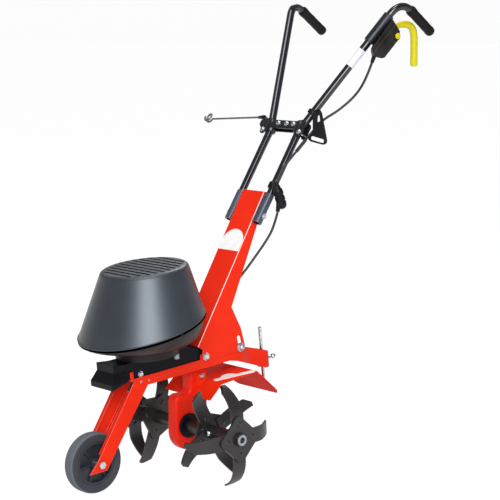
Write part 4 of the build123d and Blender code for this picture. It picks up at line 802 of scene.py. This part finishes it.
def bent_bar(name, route, radii, body, finish):
    """A bar of round section along a smooth line, as thick at each point as is given."""
    drawn = smooth_line(name + ".line", route)
    drawn.data.bevel_depth = max(radii)
    drawn.data.bevel_resolution = 6
    drawn.data.use_fill_caps = True
    for point, radius in zip(drawn.data.splines[0].points, radii):
        point.radius = radius / max(radii)
    shape = bmesh.new()
    shape.from_mesh(meshed(drawn))
    bpy.data.objects.remove(drawn)
    return skinned(name, shape, body, finish)


sides = ((1, "left"), (-1, "right"))


def on_side(side, spot):
    """A place or way of the left side, mirrored where the side is the right one."""
    return Vector((side * spot.x, spot.y, spot.z))


up_tube = Vector((0, sin(radians(32)), cos(radians(32))))
elbow = Vector((0.0518, 0.3141, 0.803))
bend_over = Vector((0.196, 0.512, 1.116))
grip_tip = Vector((0.195, 0.616, 1.038))
rising, falling = (bend_over - elbow).normalized(), (grip_tip - bend_over).normalized()
handle_route = [elbow - up_tube * 0.030, elbow - up_tube * 0.015, elbow]
handle_route += [elbow + rising * 0.015, elbow + rising * 0.030]
handle_route += [bend_over - rising * 0.150, bend_over - rising * 0.090, bend_over]
handle_route += [bend_over + falling * 0.090, bend_over + falling * 0.110]
handle_route += [grip_tip - falling * 0.001]
handle_radii = [0.0094] * len(handle_route)
for side, name in sides:
    route = [on_side(side, spot) for spot in handle_route]
    handle = bent_bar(
        "handle_tube_" + name, route, handle_radii, "handles", tube_black
    )
    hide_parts("upper_handle_" + name)
label_silver = enamelled(
    "label_silver", tone(222, 223, 233), tone(206, 207, 220), gloss=0.3, level=0.2
)
turned(
    "tube_sticker", [(9.3, 0), (9.7, 0), (9.7, 50), (9.3, 50)], elbow.lerp(bend_over, 0.495),
    rising, label_silver, 40,
)


# Crossbar: two plates cut from sheet and bolted together over the tubes, with rounded clamps
# where they close on them. The front one carries the swivel tube of the wire arm.
ahead = Vector((0, -up_tube.z, up_tube.y))
bar_middle, swivel_x = on_side(0, elbow), -0.082


def cut_plate(name, loops, origin, across, along, finish):
    """A plate cut from sheet along loops, with eased edges, on a plane given by two ways."""
    thick, ease = 0.003, 0.0006
    drawn = bpy.data.curves.new(name, "CURVE")
    drawn.dimensions = "2D"
    drawn.fill_mode = "BOTH"
    drawn.extrude = thick / 2 - ease
    drawn.bevel_depth = ease
    drawn.bevel_resolution = 2
    drawn.offset = -ease
    for loop in loops:
        spline = drawn.splines.new("POLY")
        spline.points.add(len(loop) - 1)
        for point, (u, v) in zip(spline.points, loop):
            point.co = (u, v, 0.0, 1.0)
        spline.use_cyclic_u = True
    pattern = shown(name + ".pattern", drawn)
    flat = meshed(pattern)
    bpy.data.objects.remove(pattern)
    across, along = Vector(across).normalized(), Vector(along).normalized()
    turn = Matrix((across, along, across.cross(along))).transposed().to_4x4()
    flat.transform(Matrix.Translation(origin) @ turn)
    shape = bmesh.new()
    shape.from_mesh(flat)
    return skinned(name, shape, "handles", finish)


bar_top = [(0.076, 0.004), (0.0765, 0.016), (0.071, 0.0235), (0.060, 0.0255)]
bar_top += [(0.047, 0.0235), (0.042, 0.021)]
bar_foot = [(-0.048, -0.001), (0.048, -0.001)] + arc((0.067, -0.008), 0.010, 215, 380, 14)
bar_ear = arc((-0.067, -0.008), 0.010, 160, 325, 14)
plain_end = [(-u, v) for u, v in reversed(bar_top)]
swivel_end = [(-0.0855, 0.0195), (-0.0885, 0.016), (-0.0885, 0.007), (-0.0855, 0.003)]
swivel_end = plain_end[:-2] + swivel_end
plate_black = enamelled("plate_black", tone(18, 19, 25), tone(25, 26, 33), gloss=0.24, level=0.55)
for name, shift, end in (
    ("crossbar_front", 0.0098, swivel_end),
    ("crossbar_rear", -0.0098, plain_end),
):
    plate = cut_plate(
        name + "_plate", [bar_foot + bar_top + end + bar_ear], bar_middle + ahead * shift,
        (1, 0, 0), up_tube, plate_black,
    )
    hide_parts(name)
for side, name in sides:
    turned(
        "bar_clamp_" + name, [(9.2, -9), (12.8, -9), (14.2, -6), (14.2, 18), (12.8, 22), (9.2, 22)],
        on_side(side, elbow), up_tube, plate_black, 40,
    )
turned(
    "swivel_tube", [(2.46, 0), (5.5, 0), (5.5, 18), (2.46, 18)],
    bar_middle + Vector((swivel_x, 0, 0)) + ahead * 0.0038 + up_tube * 0.004,
    up_tube, plate_black, 28,
)
bar_face = 0.0113
bar_places = []
for x, rise in ((-0.067, -0.008), (-0.020, 0.012), (0.010, 0.012), (0.035, 0.012), (0.067, -0.008)):
    middle = bar_middle + Vector((x, 0, 0)) + up_tube * rise
    bar_places += [(middle + way * bar_face, way) for way in (ahead, -ahead)]
bar_bolt_heads = bolts(
    "bar_bolt_heads", bar_places, "handles",
    head=0.0058, tall=0.0046, washer=0.0064, shank=0.0029, length=0.0112,
)
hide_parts("handle_bolts")
socket_bolt, socket_outside, socket_inside = (0.193, 0.606), 0.0634, 0.0375
socket_places = both_sides(socket_outside, socket_bolt)
socket_places += both_sides(socket_inside, socket_bolt, outward=-1)
bolts(
    "socket_bolt_heads", socket_places, "handles",
    head=0.0062, tall=0.005, washer=0.007, shank=0.0029, length=0.0128,
)


# Grips: soft black rubber sleeves with a rounded end and a few finger ridges, pushed over the
# ends of the tubes.
grip_rubber = moulded("grip_rubber", tone(26, 24, 24), tone(38, 36, 36), 0.55, 1600.0, level=0.14)
grip_profile = [(0, -3), (4.77, -2.9), (8.48, -1.9), (11.024, 0.4), (12.084, 3.6), (12.402, 8)]
grip_profile += [(11.872, 18), (12.19, 30), (11.766, 42), (12.19, 54), (11.766, 66), (12.084, 76)]
grip_profile += [(12.826, 80), (12.826, 89), (11.978, 91.6), (10.176, 92), (8.05, 92), (8.05, 0)]
grip_profile += [(0, 0)]


def hoop(radius, count):
    """A circle to draw along or to draw with."""
    sizes = {"Resolution": count, "Radius": radius}
    return radius.node("GeometryNodeCurvePrimitiveCircle", sizes)


def swept(line, section, **ends):
    """A section drawn along a line."""
    return line.node("GeometryNodeCurveToMesh", {"Curve": line, "Profile Curve": section, **ends})


rib_tree, given = open_tree("ring_ribs", "Ring", "Rib")
band = swept(hoop(given["Ring"], 36), hoop(given["Rib"], 8))
close_tree(rib_tree, set_on(given["Start"], band), given["Finish"])


def ribs(name, start, way, slot, finish, first, pitch, count, **size):
    """A row of rings along a way, evenly spaced, on something that the handles carry."""
    places = [(start + way * (first + pitch * step), way) for step in range(count)]
    row = seats(name + "_seats", places)
    return grown(name, rib_tree, row, "handles", slot, finish=finish, **size)


for side, name in sides:
    grip_end, inward = on_side(side, grip_tip), on_side(side, -falling)
    grip = turned("soft_grip_" + name, grip_profile, grip_end, inward, grip_rubber, 40)
    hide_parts("grip_" + name)
    ribs(
        "grip_ridges_" + name, grip_end, inward, "grip", grip_rubber,
        first=0.020, pitch=0.0095, count=6, ring=0.0112, rib=0.0008,
    )


# Switch box: a black moulding in two halves that closes on the left tube with a sleeve. Its wedge
# holds the switch; it has a seam, a rim round the safety button and a boot for the lead.
def metres(points):
    """Points that are given in millimetres."""
    return [tuple(round(part / 1000, 9) for part in spot) for spot in points]


switch_black, shader, place = start_finish("switch_black", level=0.16)
soft = rounded(place, 0.001)
grit = speckle(place, 1300.0, 2.0)
seam_way, seam_height = (0.0, 0.676, -0.737), -0.4444
off_seam = abs(place.dot(seam_way) - seam_height)
seam = 1 - off_seam.clipped(0.0004, 0.0011)
haze = clouded(place, 18.0, 4.0)
feed(
    shader,
    base_color=(0.5 * haze + seam).clipped(0.0, 1.0).mix(tone(28, 25, 24), tone(66, 62, 60)),
    roughness=0.42 + 0.1 * haze + 0.2 * seam,
    normal=bumped(place, grit * 0.2 - seam, 0.3, 0.0006, Normal=soft),
)
outer_edge = [(487, 1070), (512, 1041), (506, 1020), (461, 979)]
outer_edge += [(451, 977), (424, 986), (418, 996), (419, 1004)]
inner_edge = [(492, 1068), (511, 1046), (505, 1022), (462, 982)]
inner_edge += [(456, 980), (452, 984), (449, 992), (449, 1000)]
outer_face, inner_face = 0.195, 0.158
wedge = prism(
    [(outer_face, *spot) for spot in metres(outer_edge)],
    [(inner_face, *spot) for spot in metres(inner_edge)],
)
bmesh.ops.bevel(
    wedge, geom=list(wedge.edges), offset=0.0022, segments=3, profile=0.5, affect="EDGES"
)
switch_wedge = skinned("switch_wedge", wedge, "handles", switch_black)
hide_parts("switch_box")
hook_black = moulded("hook_black", tone(20, 20, 23), tone(32, 31, 34), 0.4, 1300.0, level=0.2)
sleeve_black = moulded("sleeve_black", tone(30, 33, 40), tone(44, 47, 56), 0.34, 900.0)
turned(
    "switch_sleeve", [(8.2, 0), (11.8, 0), (13, 1.2), (13, 80.3), (11.8, 81.5), (8.2, 81.5)],
    elbow.lerp(bend_over, 0.6805), rising, sleeve_black, 40,
)


def fitting(name, profile, start, way, count):
    """A small turned moulding in the same black plastic, which the handles carry."""
    return turned(name, profile, start, way, hook_black, count)


fitting(
    "button_rim", [(7.9, -10), (10.5, -10), (10.5, -0.6), (9.9, 0), (7.9, 0)],
    (outer_face, 0.502, 1.030), (1, 0, 0), 32,
)
fitting(
    "switch_boot", [(0, 0), (5.4, 0), (5.2, 6), (4.3, 19), (3.1, 19.5), (3.1, 16), (0, 16)],
    (0.1725, 0.4476, 0.9846), (-20, -2, -45), 32,
)


# Switch lever and safety button: bright yellow plastic. The lever is a hooked bar of round
# section on a pin in the box, squeezed up towards the grip.
signal_yellow = moulded(
    "signal_yellow", tone(204, 190, 14), tone(214, 200, 26), 0.3, 500.0,
    level=0.3, edge=0.0, bend=0.0001,
)
coat(signal_yellow, "lock_button")
lever_x = 0.1765
lever_route = [(497, 1044), (506, 1048), (518, 1053), (534, 1059), (566, 1056)]
lever_route += [(577, 1036), (577, 1000), (577, 966), (577, 957), (577, 956)]
lever_bar = bent_bar(
    "lever_bar", [(lever_x, *spot) for spot in metres(lever_route)],
    (0.0062, 0.0062, 0.0066, 0.0082, 0.009, 0.009, 0.0088, 0.0092, 0.0088, 0.006),
    "lever", signal_yellow,
)
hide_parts("switch_lever")


# Cord hook: a slotted black plastic plate, cut with a long slot for the cord. It hangs beside
# the left tube from a ring round it.
hook_edge = [(335, 855), (345, 856), (352, 853), (357, 846), (374, 780), (373, 774), (367, 770)]
hook_edge += [(358, 770), (322, 779), (315, 783), (314, 789), (318, 794), (325, 799), (328, 806)]
hook_edge += [(328, 846)]
long_slot = arc((326, 787.5), 4.5, 80, 260, 8) + arc((360, 778.5), 4.5, -100, 80, 8)
small_hole = [(342, 826), (347, 825), (352, 828), (350, 840), (346, 842), (343, 838)]
hook_plate = cut_plate(
    "hook_plate", [metres(loop) for loop in (hook_edge, long_slot, small_hole)], (0.0865, 0, 0),
    (0, 1, 0), (0, 0, 1), hook_black,
)
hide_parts("cord_hook")
fitting(
    "hook_ring", [(8.3, -6), (12.2, -6), (13.4, -3.5), (13.4, 3.5), (12.2, 6), (8.3, 6)],
    elbow.lerp(bend_over, 0.1375), rising, 36,
)


# Cord connector: a black plug and socket with finger ridges, hung askew from a collar on the
# left tube. Ribbed boots let the two leads bend where they enter it.
plug_profile = [(0, 0), (5.5, 0), (7.5, 1), (9.0, 4), (9.4, 9), (11.6, 12), (12.2, 16)]
plug_profile += [(12.2, 24), (10.6, 26), (10.6, 28), (12.2, 30), (12.4, 38), (10.8, 40)]
plug_profile += [(10.8, 42), (12.0, 44), (11.6, 52), (9.6, 57), (6.5, 60), (0, 61)]
plug_body = fitting("plug_body", plug_profile, (0.075, 0.221, 0.679), (0, 0.37, -0.929), 36)
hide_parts("cable_connector")
fitting(
    "plug_collar", [(9.05, -8), (12.0, -8), (13.2, -6), (13.2, 6), (12.0, 8), (9.05, 8)],
    (0.0518, 0.2335, 0.674), up_tube, 36,
)
boot_way = Vector((0, -0.146, -0.989)).normalized()
boot_top = Vector((0.075, 0.2311, 0.6455))
fitting(
    "lower_boot",
    [(0, 0), (6.8, 0), (6.6, 6), (5.2, 20), (4.3, 30.4), (3.1, 30.8), (3.1, 26), (0, 26)],
    boot_top, boot_way, 28,
)
fitting(
    "upper_boot", [(0, 5), (3.1, 5), (3.1, 0), (4.3, 0.3), (6.4, 14), (0, 14)],
    (0.075, 0.2235, 0.6865), (0, 0.07, -0.998), 28,
)
ribs(
    "boot_ribs", boot_top, boot_way, "switch_black", hook_black,
    first=0.014, pitch=0.0036, count=5, ring=0.0049, rib=0.0009,
)


# Wire arm: bent steel wire that ends in an open curl, which keeps the extension cord clear of
# the tines. A pointed black sleeve covers its bend.
wire_steel = plated("wire_steel", tone(128, 132, 140), tone(98, 102, 110), 0.3, 120.0)
arm_root = Vector((swivel_x, 0.3268, 0.8305))
arm_way = Vector((-0.9925, 0.1033, -0.0646))
arm_places = [(0, -27, 0), (0, -16, 0), (0, -7, 0), (0, 0, 0), (7, 0, 0), (20, 0, 0)]
arm_places += [(130, 0, 0), (238, 0, 0), (246, 0, 0)]
curl_middle, curl_radius, curl_pitch = (258, 1), 11, -0.6
for step, spot in enumerate(arc(curl_middle, curl_radius, 185, 725, 18)):
    arm_places.append((*spot, curl_pitch * step))
arm_aside = arm_way.cross(up_tube)
arm_line = [
    arm_root + (arm_way * out + up_tube * up + arm_aside * aside) / 1000
    for out, up, aside in arm_places
]
arm_radii = [0.0024] * len(arm_line)
bent_wire = bent_bar("bent_wire", arm_line, arm_radii, "cord_arm", wire_steel)
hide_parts("wire_arm")
turned(
    "arm_sleeve", [(2.5, 0), (4.6, 0), (5.6, 2), (5.2, 10), (3.6, 27), (2.8, 30), (2.5, 30)],
    arm_root + arm_way * 0.008, arm_way, hook_black, 24,
    body="cord_arm",
)


# Leads: two lengths of round rubber flex, one from the switch box to the connector and one
# from the connector to a bush in the column. A ribbed sleeve guards the first at the crossbar.
flex_grey = moulded("flex_grey", tone(40, 40, 43), tone(62, 62, 65), 0.48, 2000.0)


def lay_flex(name, route):
    """A round flex along the route, and the points that its line passes."""
    flex = smooth_line(name, route)
    run = meshed(flex)
    flex.data.bevel_depth = 0.003
    flex.data.bevel_resolution = 5
    flex.data.use_fill_caps = True
    flex.data.materials.append(flex_grey)
    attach(flex, "handles")
    return flex, [tuple(vert.co) for vert in run.vertices]


switch_route = [(166, 447, 970), (146, 445, 925), (118, 436, 885), (92, 405, 850)]
switch_route += [(80.2, 362, 828), (80.2, 318, 790), (77, 262, 738), (75.5, 234, 712)]
switch_route = metres(switch_route + [(75, 223.5, 686.2)])
switch_flex, switch_line = lay_flex("switch_flex", switch_route)
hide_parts("switch_cable")
sleeve_tree, given = open_tree("ribbed_sleeve", "Wall", "Rib", "Pitch")
path = given["Start"].node("GeometryNodeMeshToCurve", {"Mesh": given["Start"]})
hose = swept(path, hoop(given["Wall"], 20), **{"Fill Caps": True})
pitch = {"Curve": path, "Length": given["Pitch"]}
stops = path.node("GeometryNodeResampleCurve", pitch, mode="LENGTH")
band = swept(hoop(given["Wall"], 20), hoop(given["Rib"], 6))
bands = copies(stops, band, path.node("GeometryNodeInputTangent"))
close_tree(sleeve_tree, joined(hose, bands), given["Finish"])
sleeve_front, sleeve_back = 0.281, 0.312
stretch = [spot for spot in switch_line if sleeve_front < spot[1] < sleeve_back]
sleeve_run = bpy.data.meshes.new("sleeve_run")
sleeve_run.from_pydata(stretch, [(step, step + 1) for step in range(len(stretch) - 1)], [])
flex_sleeve = grown(
    "flex_sleeve", sleeve_tree, sleeve_run, "handles", "cable",
    wall=0.0038, rib=0.0009, pitch=0.0034, finish=flex_grey,
)
motor_route = [(75, 226.5, 614.8), (73.5, 221, 594), (66, 211, 560), (50, 179, 510)]
motor_route = metres(motor_route + [(32, 148, 462), (14, 124, 430), (8, 104, 408)])
motor_flex = lay_flex("motor_flex", motor_route)[0]
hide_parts("motor_cable")
fitting(
    "lead_bush", [(0, 0), (5.2, 0), (6.2, 2), (6.2, 29), (10, 30), (10, 34.5), (0, 34.5)],
    (0.008, 0.109, 0.405), (0, -0.867, 0.498), 28,
)


# Studio: a white sweep that keeps a soft shadow, a grey surround, one wide soft box beside the
# camera for the broad sheen and the bright lines, and two lamps for the top and the far side.
reach, wall_height = 60, 4
floor = [(reach, -reach, 0), (reach, reach, 0), (-reach, reach, 0), (-reach, -reach, 0)]
wall_tops = [(x, y, wall_height) for x, y, z in floor[1:]]
sweep_mesh = bpy.data.meshes.new("studio_sweep")
sweep_mesh.from_pydata(floor + wall_tops, [], [(0, 1, 2, 3), (1, 4, 5, 2), (2, 5, 6, 3)])
studio_sweep = shown("studio_sweep", sweep_mesh)
white = (1.0, 1.0, 1.0, 1.0)
sweep_white, shader, place = start_finish(
    "sweep_white", base_color=(0.86, 0.86, 0.86, 1.0), roughness=0.8, level=0.1
)
seen = 0.0
for ray in ("Is Camera Ray", "Is Glossy Ray", "Is Transmission Ray"):
    seen += place.node("ShaderNodeLightPath", output=ray)
paper = Wire(place.tree, shader.outputs[0])
glow = place.node("ShaderNodeEmission", {"Color": white, "Strength": 1.24})
surfaced(place, seen.clipped(0.0, 1.0) * 0.74, paper, glow)
sweep_mesh.materials.append(sweep_white)

studio = bpy.data.worlds.new("studio")
studio.use_nodes = True
surround = studio.node_tree.nodes["Background"].inputs
surround["Color"].default_value = white
surround["Strength"].default_value = 0.3
bpy.context.scene.world = studio

for name, spot, aim, size, power in (
    ("soft_box", (3.62, -2.55, 2.40), (0.0, 0.1, 0.5), 2.8, 222.0),
    ("top_lamp", (0.2, -0.5, 4.2), (0.0, 0.1, 0.4), 1.6, 50.0),
    ("rear_lamp", (-2.2, 2.4, 3.2), (0.0, 0.1, 0.5), 1.6, 30.0),
):
    lamp = bpy.data.lights.new(name, "AREA")
    lamp.shape = "SQUARE"
    lamp.size = size
    lamp.energy = power
    stand = shown(name, lamp)
    stand.location = spot
    stand.rotation_euler = (Vector(aim) - Vector(spot)).to_track_quat("-Z", "Y").to_euler()

lens = bpy.data.cameras.new("camera")
lens.lens = 125.3
lens.sensor_width = 36.0
camera = shown("camera", lens)
camera.location = (3.190, -2.473, 1.066)
aim = Vector((0.0, 0.2035, 0.518))
camera.rotation_euler = (aim - camera.location).to_track_quat("-Z", "Y").to_euler()
bpy.context.scene.camera = camera
bpy.context.scene.view_settings.view_transform = "Standard"
